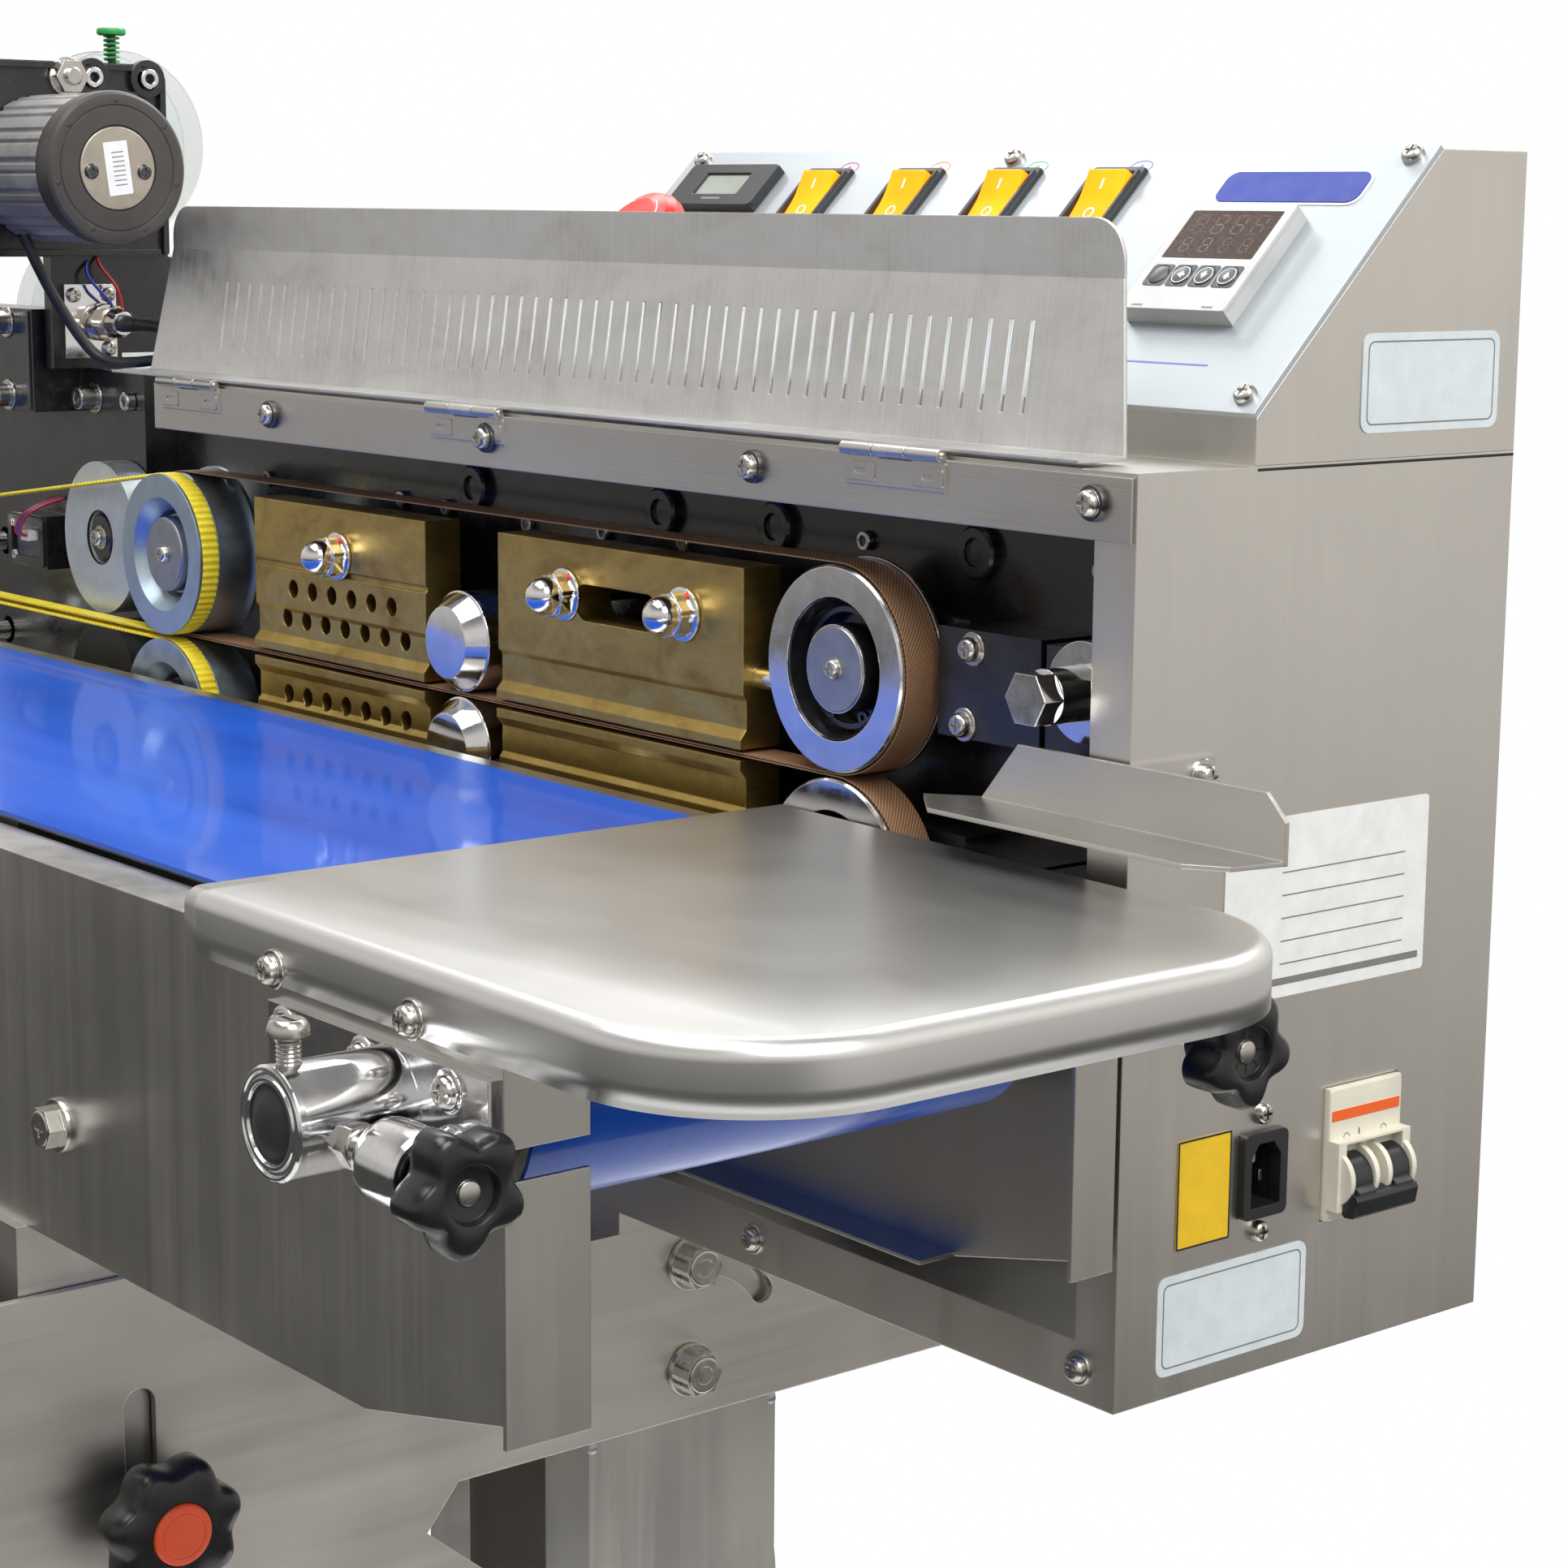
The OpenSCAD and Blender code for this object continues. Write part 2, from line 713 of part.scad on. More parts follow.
module cooling_block() {
  pitch = 15.8;
  mid = (cool_x[0] + cool_x[1]) / 2 + 3;
  difference() {
    along_x(cool_x[0], cool_x[1]) block_profile();
    stud_holes(cool_stud_x);
    for (k = [0 : 5]) rod_y(0, 40, mid + (k - 2.5) * pitch, 214.5, 4);
    for (k = [0 : 6]) rod_y(0, 40, mid + (k - 3) * pitch, 201, 4);
    // shallow groove above the holes
    along_x(cool_x[0] - 1, cool_x[1] + 1)
      polygon([[block_y - 1, 226.5], [block_y + 1, 225], [block_y + 1, 223.5], [block_y - 1, 222]]);
  }
}

module cooling_blocks() {
  color([0.7, 0.56, 0.24]) datum() {
    cooling_block();
    below_nip() cooling_block();
  }
}

// stud through a block with a hexagon and a domed cap
module cap_stud(x) {
  rod_y(block_y - eps, mech_y, x, stud_z, stud_r);
  translate([x, block_y, stud_z]) rotate([90, 0, 0]) {
    cylinder(h = 1.4, r = 9.5);
    translate([0, 0, 1.4]) linear_extrude(6) hexagon(15);
  }
  turned_y(x, stud_z, [[0, block_y - 7], [7, block_y - 7], [7, block_y - 9.5],
    [6.4, block_y - 12.6], [5, block_y - 15], [2.8, block_y - 16.6], [0, block_y - 17]]);
}

module block_fittings() {
  color("gainsboro") datum() {
    heater_core();
    below_nip() heater_core();
    for (x = concat(heat_stud_x, cool_stud_x)) {
      cap_stud(x);
      below_nip() cap_stud(x);
    }
  }
}

module loop_y(y, w) {
  along_y(y, y + w) difference() {
    children(0);
    children(1);
  }
}

module seal_bands() {
  color([0.5, 0.33, 0.2]) datum()
    for (z = [upper_z, lower_z])
      loop_y(band_y, band_w) {
        stadium(-idler_x, -drive_x, z, band_out_r);
        stadium(-idler_x, -drive_x, z, band_out_r - band_t);
      }
}

module guide_belt(wheel_z, pulley_z) {
  wheel = [-drive_x, wheel_z];
  pulley = [-pulley_x, pulley_z];
  loop_y(guide_y, guide_w) {
    belt_outline(wheel, guide_out_r, pulley, pulley_r + gap + guide_t);
    belt_outline(wheel, guide_out_r - guide_t, pulley, pulley_r + gap);
  }
}

module guide_belts() {
  color("gold") datum() {
    guide_belt(upper_z, nip_z + pulley_rise);
    guide_belt(lower_z, nip_z - pulley_rise);
  }
}

// drive wheel: guide belt groove in front, sealing band land behind
module drive_wheel(z, rim) {
  f = drive_face;
  color("silver") datum() turned_y(-drive_x, z, [[0, f + 3], [13, f + 3], [13, f + 9], [18, f + 9],
    [25.5, f], [wheel_r, f], [wheel_r, f + 1.4], [guide_land_r, f + 1.4],
    [guide_land_r, guide_y + guide_w + 0.1], [wheel_r, guide_y + guide_w + 0.1],
    [wheel_r, wheel_back], [rim, wheel_back], [rim, wheel_back + 2], [14, wheel_back + 2],
    [14, wheel_back + 6], [6, wheel_back + 6], [6, mech_y + mech_t + 4],
    [22, mech_y + mech_t + 4], [22, mech_y + mech_t + 14], [0, mech_y + mech_t + 14]]);
}

module drive_wheel_upper() { drive_wheel(upper_z, 38.4); }
module drive_wheel_lower() { drive_wheel(lower_z, 35); }

// idler wheel: flat mirror rim, deep dark recess and a hub cap
module idler_wheel(z, rim) {
  f = idler_face;
  color("silver") datum() turned_y(-idler_x, z, [[0, f + 1], [15.5, f + 1], [15.5, f + 12],
    [23, f + 12], [25, f], [wheel_r - 0.8, f], [wheel_r, f + 0.8], [wheel_r, wheel_back],
    [rim, wheel_back], [rim, wheel_back + 1.4], [6, wheel_back + 1.4], [6, mech_y - 0.4],
    [0, mech_y - 0.4]]);
}

module idler_wheel_upper() { idler_wheel(upper_z, 38); }
module idler_wheel_lower() { idler_wheel(lower_z, 35); }

module pressure_roller(z) {
  color("silver") datum() turned_y(roller_x, z, [[0, 2.5], [14.5, 2.5], [roller_r - 0.8, 9.5],
    [roller_r, 10], [roller_r, 26], [12, 26], [12, 30], [5, 30], [5, mech_y + mech_t + 3],
    [0, mech_y + mech_t + 3]]);
}

module pressure_roller_upper() { pressure_roller(nip_z + press_rise); }
module pressure_roller_lower() { pressure_roller(nip_z - press_rise); }

module guide_pulley(z) {
  f = drive_face;
  color("silver") datum() turned_y(-pulley_x, z, [[0, f + 2], [7, f + 2], [9, f], [pulley_r, f],
    [pulley_r, guide_y + guide_w + 0.5], [11, guide_y + guide_w + 2], [5, guide_y + guide_w + 2],
    [5, mech_y + mech_t + 3], [0, mech_y + mech_t + 3]]);
}

module guide_pulley_upper() { guide_pulley(nip_z + pulley_rise); }
module guide_pulley_lower() { guide_pulley(nip_z - pulley_rise); }

module print_wheel() {
  f = print_face;
  color("silver") datum() turned_y(print_x, print_z, [[0, f + 2], [6, f + 2], [6, f + 7], [10.5, f + 7],
    [13, f], [print_r, f], [print_r, f + 15.5], [6, f + 15.5],
    [6, mech_y + mech_t + 3], [0, mech_y + mech_t + 3]]);
}

module rubber_roller() {
  f = print_face;
  color([0.1, 0.1, 0.1]) datum() turned_y(print_x, inker_z, [[0, f + 1], [10, f + 1], [13, f], [inker_r, f],
    [inker_r, f + 15.5], [6, f + 15.5], [6, mech_y + mech_t + 3], [0, mech_y + mech_t + 3]]);
}

// black block that carries an idler wheel and pulls its band tight
module tension_block(z) {
  difference() {
    union() {
      block([-180, 31, z - 20], [-109, mech_y, z + 20]);
      block([-112, 20, z - 18], [-62, mech_y, z + 19]);
      block([-62, 24, z - 15], [-54, mech_y, z + 15]);
      block([-54, 15, z - 19], [-24, mech_y, z + 19]);
    }
    rod_y(20, mech_y - 0.3, -idler_x, z, 6 + fit);
    rod_y(10, 40, adjust_x, z + 6, 4 + fit);
  }
}

module tension_blocks() {
  color([0.08, 0.08, 0.09]) datum() {
    tension_block(upper_z);
    below_nip() tension_block(upper_z);
  }
}

// band tension screw: D-shaped chrome plate, collar and hexagon head
module band_adjuster(front) {
  z = upper_z + 6;
  along_y(12, 15) intersection() {
    translate([adjust_x, z]) circle(16.5, $fn = 64);
    translate([adjust_x - 20, z - 20]) square([30, 40]);
  }
  rod_y(front + 8, 12, adjust_x, z, 9);
  along_y(front, front + 8) translate([adjust_x, z]) hexagon(16);
  rod_y(10, 40, adjust_x, z, 4);
}

module band_adjusters() {
  color("gainsboro") datum() {
    band_adjuster(-13);
    below_nip() band_adjuster(-5);
  }
}

module infeed_guide() {
  t = sheet;
  color("silver") datum() {
    along_y(-2 - t, -2) polygon([[-65, 190], [-47, 211], [60, 211], [68, 203], [68, 190]]);
    translate([0, 0, 190]) linear_extrude(t)
      polygon([[-65, -2], [-80, -14], [-60, -30], [52, -30], [64, -22], [68, -2]]);
    // tab screwed to the cabinet's side
    along_x(0, t) polygon([[-3, 190], [36, 198], [36, 210.5], [-3, 210.5]]);
    rod_x(t - eps, t + 2.2, 31, 204, 3.2);
  }
}

module drive_motor() {
  color("dimgray") datum() {
    rod_x(-560, -440, 115, 80, 38);
    block([-600, 70, 38], [-560, 160, 122]);
    rod_x(-440, -425, 115, 80, 30);
    // bracket that holds the gearbox to the cabinet's floor
    block([-600, 70, sheet], [-560, 160, 38 + eps]);
  }
}

// coder ----------------------------------------------------------------------

module coder_frame() {
  color([0.07, 0.07, 0.08]) datum() {
    difference() {
      block([-858, slab_y, 96], [-688, mech_y, 299]);
      for (z = [print_z, inker_z]) rod_y(slab_y - 1, mech_y + 1, print_x, z, 7);
      for (z = [nip_z + pulley_rise, nip_z - pulley_rise]) rod_y(slab_y - 1, mech_y + 1, -pulley_x, z, 7);
    }
    // slide block with its cap screws
    block([-850, 5, 278], [-752, slab_y + eps, 327]);
    for (z = [285, 320]) rod_y(-1, 5 + eps, -779, z, 5);
    rod_y(22, slab_y + eps, -738, 285, 5);
    // sensor holder beside the print wheel
    block([-806, 16, 200], [-766, slab_y + eps, 226]);
    // upright casting with its arm for the lower reel
    difference() {
      union() {
        along_x(caster_x, caster_x + caster_t) polygon([[-60, 443], [66, 443], [72, 437],
          [72, 352], [102, 346], [102, 306], [46, 306], [46, 299 - eps], [10, 299 - eps], [10, 352],
          [-60, 352]]);
        for (y = [33, 62]) rod_x(caster_x + caster_t - eps, caster_x + caster_t + 5, y, 436, 4.5);
      }
      for (y = [33, 62]) rod_x(caster_x - 1, caster_x + caster_t + 6, y, 436, 2);
    }
    // nut of the ribbon guide, and the sprung pin on top
    along_x(caster_x + caster_t - eps, caster_x + caster_t + 6) translate([21, 436]) hexagon(14);
    translate([caster_x + 4, 47, 443 - eps]) cylinder(h = 14, r = 2);
    translate([caster_x + 4, 47, 456]) cylinder(h = 3, r = 6);
    // studs for the two reels
    for (at = [reel_up, reel_low]) rod_x(at[0] - 3, caster_x + eps, at[1], at[2], 4);
  }
}

// reel with two clear discs on a hub, turning on its stud
module reel(at) {
  color([0.85, 0.9, 0.92, 0.5]) datum() difference() {
    union() {
      for (x = [at[0], at[0] + reel_w - 1.2]) rod_x(x, x + 1.2, at[1], at[2], reel_r);
      rod_x(at[0], at[0] + reel_w, at[1], at[2], 13);
    }
    rod_x(at[0] - 1, at[0] + reel_w + 1, at[1], at[2], 4 + fit);
  }
}

module upper_reel() { reel(reel_up); }
module lower_reel() { reel(reel_low); }

module coder_motor() {
  x = motor_end;
  color("dimgray") datum()
    turned_x(motor_y, motor_z, [[0, caster_x + caster_t], [motor_r, caster_x + caster_t],
      [motor_r, x - 12], [motor_r + 0.8, x - 11], [motor_r + 0.8, x - 2], [motor_r - 1, x], [20, x],
      [19, x - 0.6], [0, x - 0.6]]);
}

// route of the lead from the coder's gland to the control box
gland = [34, 321];
lead_route = [[-714, 34, 321], [-704, 34, 321], [-692, 35, 321], [-678, 38, 320], [-662, 44, 318],
  [-645, 49, 317], [-625, 54, 315], [-603, 59, 313], [-580, 64, 311], [-556, 69, 310],
  [-532, 74, 310], [-508, 80, 311], [-484, 88, 313], [-462, 97, 317], [-442, 105, 323],
  [-424, 109, 328], [-413, 110, 330], [-405.1, 110, 330]];
// route of the motor's lead down to the mechanism plate
motor_route = [[-722, -12, 362], [-721, -9, 354], [-720, -5, 345], [-719, 0, 335], [-718, 6, 325],
  [-716, 12, 315], [-713, 18, 307], [-708, 24, 303.5], [-700, 32, 303.5], [-692, 40, 304.5], [-682, 50, 303.5],
  [-670, 58, 301], [-656, 62, 296], [-643, 64, 290], [-632, 65, 282], [-624, 66, 272]];

module coder_cables() {
  color("black") datum() {
    tube(lead_route, 3);
    tube(motor_route, 2.6);
  }
}

module cable_gland() {
  color("gainsboro") datum() {
    block([caster_x + caster_t, 15, 304], [caster_x + caster_t + 3, 42, 339]);
    rod_x(-737 - eps, -731, gland[0], gland[1], 8.5);
    along_x(-731, -723) translate(gland) hexagon(14);
    rod_x(-723, -714, gland[0], gland[1], 5.5);
    // gland on the control box
    rod_x(-box_w - 9, -box_w, 110, 330, 5);
  }
}

// front cover -----------------------------------------------------------------

// side view: flange, leaning panel and upright lip
module cover_profile() {
  t = cover_t;
  lean_y = cover_flange + cover_rise * tan(cover_lean);
  polygon([[-1, cover_foot], [cover_flange, cover_foot], [lean_y, cover_foot + cover_rise],
    [lean_y, cover_top], [lean_y - t, cover_top], [lean_y - t, cover_foot + cover_rise],
    [cover_flange - t, cover_foot + t], [-1, cover_foot + t]]);
}

// front view: tapered panel with a round-cornered lip
module cover_outline() {
  r = 14;
  x0 = cover_x[0] + cover_taper;
  x1 = cover_x[1] - cover_taper;
  polygon([[cover_x[0], cover_foot - 1], [cover_x[1], cover_foot - 1], [cover_x[1], cover_foot + cover_t],
    [x1, cover_foot + cover_rise], [x1, cover_top - r], [x1 - r, cover_top - r], [x1 - r, cover_top + 1],
    [x0 + r, cover_top + 1], [x0 + r, cover_top - r], [x0, cover_top - r],
    [x0, cover_foot + cover_rise], [cover_x[0], cover_foot + cover_t]]);
  for (x = [x0 + r, x1 - r]) translate([x, cover_top - r]) circle(r);
}

module vent_cover() {
  slots_z = cover_foot + 12;
  color("silver") datum() {
    difference() {
      intersection() {
        along_x(cover_x[0] - 1, cover_x[1] + 1) cover_profile();
        along_y(-10, 60) cover_outline();
      }
      for (k = [0 : slot_count - 1]) {
        x = slot_mid + (k - (slot_count - 1) / 2) * slot_pitch;
        block([x - slot_w / 2, cover_flange - 5, slots_z],
              [x + slot_w / 2, cover_flange + 15, slots_z + slot_h]);
      }
    }
    for (x = hinge_x) {
      difference() {
        union() {
          block([x - hinge_len / 6 + 0.3, -2.6, cover_foot - 1],
                [x + hinge_len / 6 - 0.3, 12, cover_foot + 0.5]);
          rod_x(x - hinge_len / 6 + 0.3, x + hinge_len / 6 - 0.3, hinge_y, hinge_z, knuckle_r);
        }
        rod_x(x - hinge_len / 2, x + hinge_len / 2, hinge_y, hinge_z, pin_r + fit);
      }
    }
  }
}

// conveyor --------------------------------------------------------------------

conv_front = conv_mid - frame_w / 2;
conv_back = conv_mid + frame_w / 2;

// one side panel: kinked at both ends
kink = 72;
module side_panel() {
  rise = 16.5;
  polygon([[conv_x[0], conv_z[1]], [conv_x[1], conv_z[1]], [conv_x[1], conv_z[0] + rise],
    [conv_x[1] - kink, conv_z[0]], [conv_x[0] + kink, conv_z[0]], [conv_x[0], conv_z[0] + rise]]);
}

module conveyor_side(y, dir) {
  t = sheet;
  inner = y + dir * 20;
  return_w = dir > 0 ? 28 : 18;
  returns = dir > 0 ? [[47, 122], [131, 155]] : [[51, 122], [152, conv_z[1] - 1]];
  difference() {
    union() {
      along_y(min(y, y + dir * t), max(y, y + dir * t)) side_panel();
      block([conv_x[0], min(y, inner), conv_z[1] - t], [conv_x[1], max(y, inner), conv_z[1]]);
      block([conv_x[0] + kink, min(y, y + dir * 17), conv_z[0]],
            [conv_x[1] - kink, max(y, y + dir * 17), conv_z[0] + t]);
      for (x = [conv_x[0], conv_x[1] - t], z = returns)
        block([x, min(y, y + dir * return_w), z[0]], [x + t, max(y, y + dir * return_w), z[1]]);
    }
    // slots for the idler shaft and bores for the drive shaft
    along_y(y - 10, y + 10) slot2d([idle_x - 14, conv_roller_z], [idle_x + 8, conv_roller_z], 14);
    rod_y(y - 10, y + 10, tail_x, conv_roller_z, 6 + fit);
  }
}

module conveyor_frame() {
  color("silver") datum() {
    conveyor_side(conv_front, 1);
    conveyor_side(conv_back, -1);
    // cross bars inside the belt loop and the slider bed on them
    for (x = [-640, -341, -150]) {
      block([x - 10, conv_front + sheet - eps, 122], [x + 10, conv_back - sheet + eps, 140]);
      block([x - 10, belt_y + 4, 140 - eps], [x + 10, belt_y + belt_w - 4, belt_z - 3.6]);
    }
    block([-755, belt_y + 3, belt_z - 3.6 - eps], [-92, belt_y + belt_w - 3, belt_z - belt_t - gap]);
    // saddle and sliding post
    block([post_x[0], post_y[0], conv_z[0] - 3], [post_x[1], conv_back, conv_z[0]]);
    difference() {
      block([post_x[0], post_y[0], -110], [post_x[1], post_y[1], conv_z[0] - 3 + eps]);
      block([post_x[0] + plate_t, post_y[0] + plate_t, -111],
            [post_x[1] - plate_t, post_y[1] - plate_t, conv_z[0] - 6]);
      rod_x(post_x[1] - 10, post_x[1] + 1, clamp_at[0], clamp_at[1], 4 + fit);
    }
    // hexagon bolts on the front panel
    for (x = [-700, -485, -255])
      translate([x, conv_front, 79]) rotate([90, 0, 0]) {
        cylinder(h = 1.5, r = 8);
        translate([0, 0, 1.5]) linear_extrude(5) hexagon(12);
      }
  }
}

module conveyor_belt() {
  color("blue") datum()
    loop_y(belt_y, belt_w) {
      stadium(idle_x, tail_x, conv_roller_z, roller_out);
      stadium(idle_x, tail_x, conv_roller_z, roller_out - belt_t);
    }
}

module belt_roller(x, shaft_y) {
  e = 1;
  color("silver") datum() turned_y(x, conv_roller_z, [[0, shaft_y[0]], [6, shaft_y[0]], [6, belt_y + e],
    [conv_roller_r, belt_y + e], [conv_roller_r, belt_y + belt_w - e],
    [6, belt_y + belt_w - e], [6, shaft_y[1]], [0, shaft_y[1]]]);
}

module drive_roller() { belt_roller(tail_x, [conv_front - 4, conv_back + 4]); }
module idler_roller() { belt_roller(idle_x, [conv_front - 38, conv_back - 3]); }

// plan of the tray: straight towards the belt, round at the free end
module tray_plan(inset, r) {
  x0 = tray_end - tray_w;
  y0 = conv_front - 3.5 + inset;
  y1 = conv_back - 1;
  x1 = tray_end - inset;
  translate([x0, y0]) square([x1 - r - x0, y1 - y0]);
  translate([x0, y0 + r]) square([x1 - x0, y1 - y0 - 2 * r]);
  for (y = [y0 + r, y1 - r]) translate([x1 - r, y]) circle(r, $fn = 96);
}

tray_top = 175.5;
tray_t = 1.5;
tray_drop = 20;

module infeed_tray() {
  color("silver") datum() {
    translate([0, 0, tray_top - tray_t]) linear_extrude(tray_t) tray_plan(0, 56);
    // rolled rim along the front and round the free end
    translate([0, 0, tray_top - tray_drop]) linear_extrude(tray_drop) difference() {
      tray_plan(0, 56);
      tray_plan(tray_t, 56 - tray_t);
      translate([tray_end - tray_w - 1, conv_back - 14]) square([tray_w - 24, 20]);
    }
    // stand-off strips that rest on the conveyor's top flanges
    block([-150, conv_front + 2, conv_z[1]], [-8, conv_front + 14, tray_top - tray_t + eps]);
    block([-150, conv_back - 14, conv_z[1]], [-8, conv_back - 2, tray_top - tray_t + eps]);
    for (x = [-107, -33]) screw_y(x, conv_front - 3.5, 160, 3.6, 2.4);
  }
}

module takeup_brackets() {
  y = conv_front;
  color("gainsboro") datum() {
    difference() {
      union() {
        block([-112, y - 3, 110], [3, y, 150]);
        rod_y(y - 40, y - 3 + eps, idle_x, conv_roller_z, 16);
        // boss that the tension rod screws through, on its arm
        rod_x(-14, 6, rod_front[0], rod_front[1], 9);
        block([-12, y - 22, 123], [3, y - 3 + eps, 135]);
        for (p = [[-103, 143.5], [-60, 143.5], [-16, 143.5], [-60, 115.5]])
          screw_y(p[0], y - 3, p[1], 3.2, 2);
      }
      rod_y(y - 38, y + 1, idle_x, conv_roller_z, 6 + fit);
      rod_x(idle_x + 4, 10, rod_front[0], rod_front[1], 3 + fit);
    }
    // bearing block inside the back panel
    difference() {
      block([idle_x - 12, conv_back - 17, conv_roller_z - 12],
            [idle_x + 20, conv_back - sheet, conv_roller_z + 12]);
      rod_y(conv_back - 20, conv_back, idle_x, conv_roller_z, 6 + fit);
      rod_x(idle_x + 4, 40, rod_back[0], rod_back[1], 3 + fit);
    }
  }
}

// hand knob on a rod along X
module star_knob(x, rod_from, at) {
  color([0.1, 0.1, 0.1]) datum() {
    along_x(x, x + 14) translate(at) star(knob_r);
    rod_x(x - 7, x + eps, at[0], at[1], 8.5);
    rod_x(rod_from, x - 7 + eps, at[0], at[1], 3);
  }
}

module front_star_knob() { star_knob(14, idle_x + 8, rod_front); }
module back_star_knob() { star_knob(58, idle_x + 8, rod_back); }

module clamp_knob() {
  x = yoke_in[1] + plate_t;
  color([0.1, 0.1, 0.1]) datum() {
    along_x(x + 12, x + 28) translate(clamp_at) star(25);
    rod_x(x + 1, x + 12 + eps, clamp_at[0], clamp_at[1], 12);
    rod_x(x - 6, x + 1 + eps, clamp_at[0], clamp_at[1], 4);
    rod_x(x + 28 - eps, x + 30.5, clamp_at[0], clamp_at[1], 10.5);
  }
}

base_frame();
levelling_feet();
column();
tilt_bolts();
yoke_frame();
cabinet_shell();
hinge_rail();
back_cover();
control_box();
control_panel();
panel_fittings();
temp_controller();
inlet_socket();
breaker_body();
mechanism_plate();
heating_blocks();
cooling_blocks();
block_fittings();
seal_bands();
guide_belts();
tension_blocks();
infeed_guide();
drive_motor();
coder_frame();
coder_motor();
coder_cables();
cable_gland();
vent_cover();
conveyor_frame();
conveyor_belt();
infeed_tray();
takeup_brackets();
drive_roller();
idler_roller();
front_star_knob();
back_star_knob();
drive_wheel_upper();
drive_wheel_lower();
idler_wheel_upper();
idler_wheel_lower();
pressure_roller_upper();
pressure_roller_lower();
print_wheel();
rubber_roller();
guide_pulley_upper();
guide_pulley_lower();
upper_reel();
lower_reel();
rocker_1();
rocker_2();
rocker_3();
rocker_4();
estop_button();
breaker_toggle();
key_1();
key_2();
key_3();
key_4();
clamp_knob();
band_adjusters();
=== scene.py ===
# Looks of the continuous band sealer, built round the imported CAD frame.
# Shapes are drawn in millimetres from the cabinet's front right bottom corner, and place() and
# Piece.done() turn them into the frame's metres.
import bpy
import bmesh
import json
import math
from mathutils import Matrix, Vector
from mathutils.geometry import tessellate_polygon

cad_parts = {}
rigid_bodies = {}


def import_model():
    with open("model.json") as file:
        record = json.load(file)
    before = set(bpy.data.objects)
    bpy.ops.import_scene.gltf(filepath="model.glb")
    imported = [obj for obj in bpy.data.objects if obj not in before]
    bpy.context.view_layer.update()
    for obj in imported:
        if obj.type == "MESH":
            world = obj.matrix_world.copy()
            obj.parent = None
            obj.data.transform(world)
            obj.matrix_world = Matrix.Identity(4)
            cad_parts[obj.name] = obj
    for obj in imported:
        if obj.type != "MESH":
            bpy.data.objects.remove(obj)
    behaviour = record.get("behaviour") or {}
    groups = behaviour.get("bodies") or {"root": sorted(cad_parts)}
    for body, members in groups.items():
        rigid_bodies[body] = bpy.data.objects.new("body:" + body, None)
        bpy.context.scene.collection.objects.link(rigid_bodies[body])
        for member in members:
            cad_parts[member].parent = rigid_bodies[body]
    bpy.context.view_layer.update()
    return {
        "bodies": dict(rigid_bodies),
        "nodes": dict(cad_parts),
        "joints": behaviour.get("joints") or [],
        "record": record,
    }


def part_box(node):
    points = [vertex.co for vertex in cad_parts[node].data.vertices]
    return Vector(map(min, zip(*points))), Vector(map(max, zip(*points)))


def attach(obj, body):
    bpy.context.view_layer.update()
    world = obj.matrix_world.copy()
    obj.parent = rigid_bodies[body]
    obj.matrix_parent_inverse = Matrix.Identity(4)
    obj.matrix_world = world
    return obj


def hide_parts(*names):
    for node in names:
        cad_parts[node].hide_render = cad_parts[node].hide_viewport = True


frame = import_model()
MM = 0.001

shell_low, shell_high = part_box("cabinet_shell")
CORNER = Vector((shell_high.x, shell_low.y, shell_low.z))  # cabinet's front corner at the infeed side


def place(x, y, z):
    """A point given in millimetres from the cabinet's front right bottom corner."""
    return CORNER + Vector((x, y, z)) * MM


def link(name, data):
    """A new object in the scene's collection."""
    made = bpy.data.objects.new(name, data)
    bpy.context.scene.collection.objects.link(made)
    return made


# camera -----------------------------------------------------------------------

CAMERA_SPOT = (700.2, -701.4, 378.5)
AZIMUTH, ELEVATION, ROLL = 50.58, 10.12, 0.55      # degrees, solved from the photograph's edges
LENS, SENSOR = 74.64, 36
SHIFT_X, SHIFT_Y = -0.0227, 0.0024


def make_camera():
    """The photograph's camera."""
    azimuth, elevation, roll = (math.radians(a) for a in (AZIMUTH, ELEVATION, ROLL))
    data = bpy.data.cameras.new("camera")
    data.sensor_width = SENSOR
    data.lens = LENS
    data.shift_x, data.shift_y = SHIFT_X, SHIFT_Y
    data.clip_start = 0.05
    camera = link("camera", data)
    camera.location = place(*CAMERA_SPOT)
    camera.rotation_euler = (math.pi / 2 - elevation, -roll, azimuth)
    bpy.context.scene.camera = camera


make_camera()


# node helpers -----------------------------------------------------------------

FINE = 0.0002                    # depth of a surface's grain, in metres


def add_node(tree, kind, inputs=(), **props):
    """A node with its properties set, and its inputs linked to sockets or given values."""
    made = tree.nodes.new(kind)
    for key, value in props.items():
        setattr(made, key, value)
    for key, value in dict(inputs).items():
        fill(tree, made.inputs[key], value)
    return made


def fill(tree, socket, value):
    """Links a node's output to the socket, or sets the socket's own value."""
    if isinstance(value, bpy.types.NodeSocket):
        tree.links.new(value, socket)
    else:
        socket.default_value = value


def span_inputs(value, low, high, new_low, new_high):
    return {"Value": value, "From Min": low, "From Max": high, "To Min": new_low, "To Max": new_high}


def tint(color, factor, lift=0.0):
    """A colour made darker or lighter."""
    return tuple(min(1, c * factor + lift) for c in color)


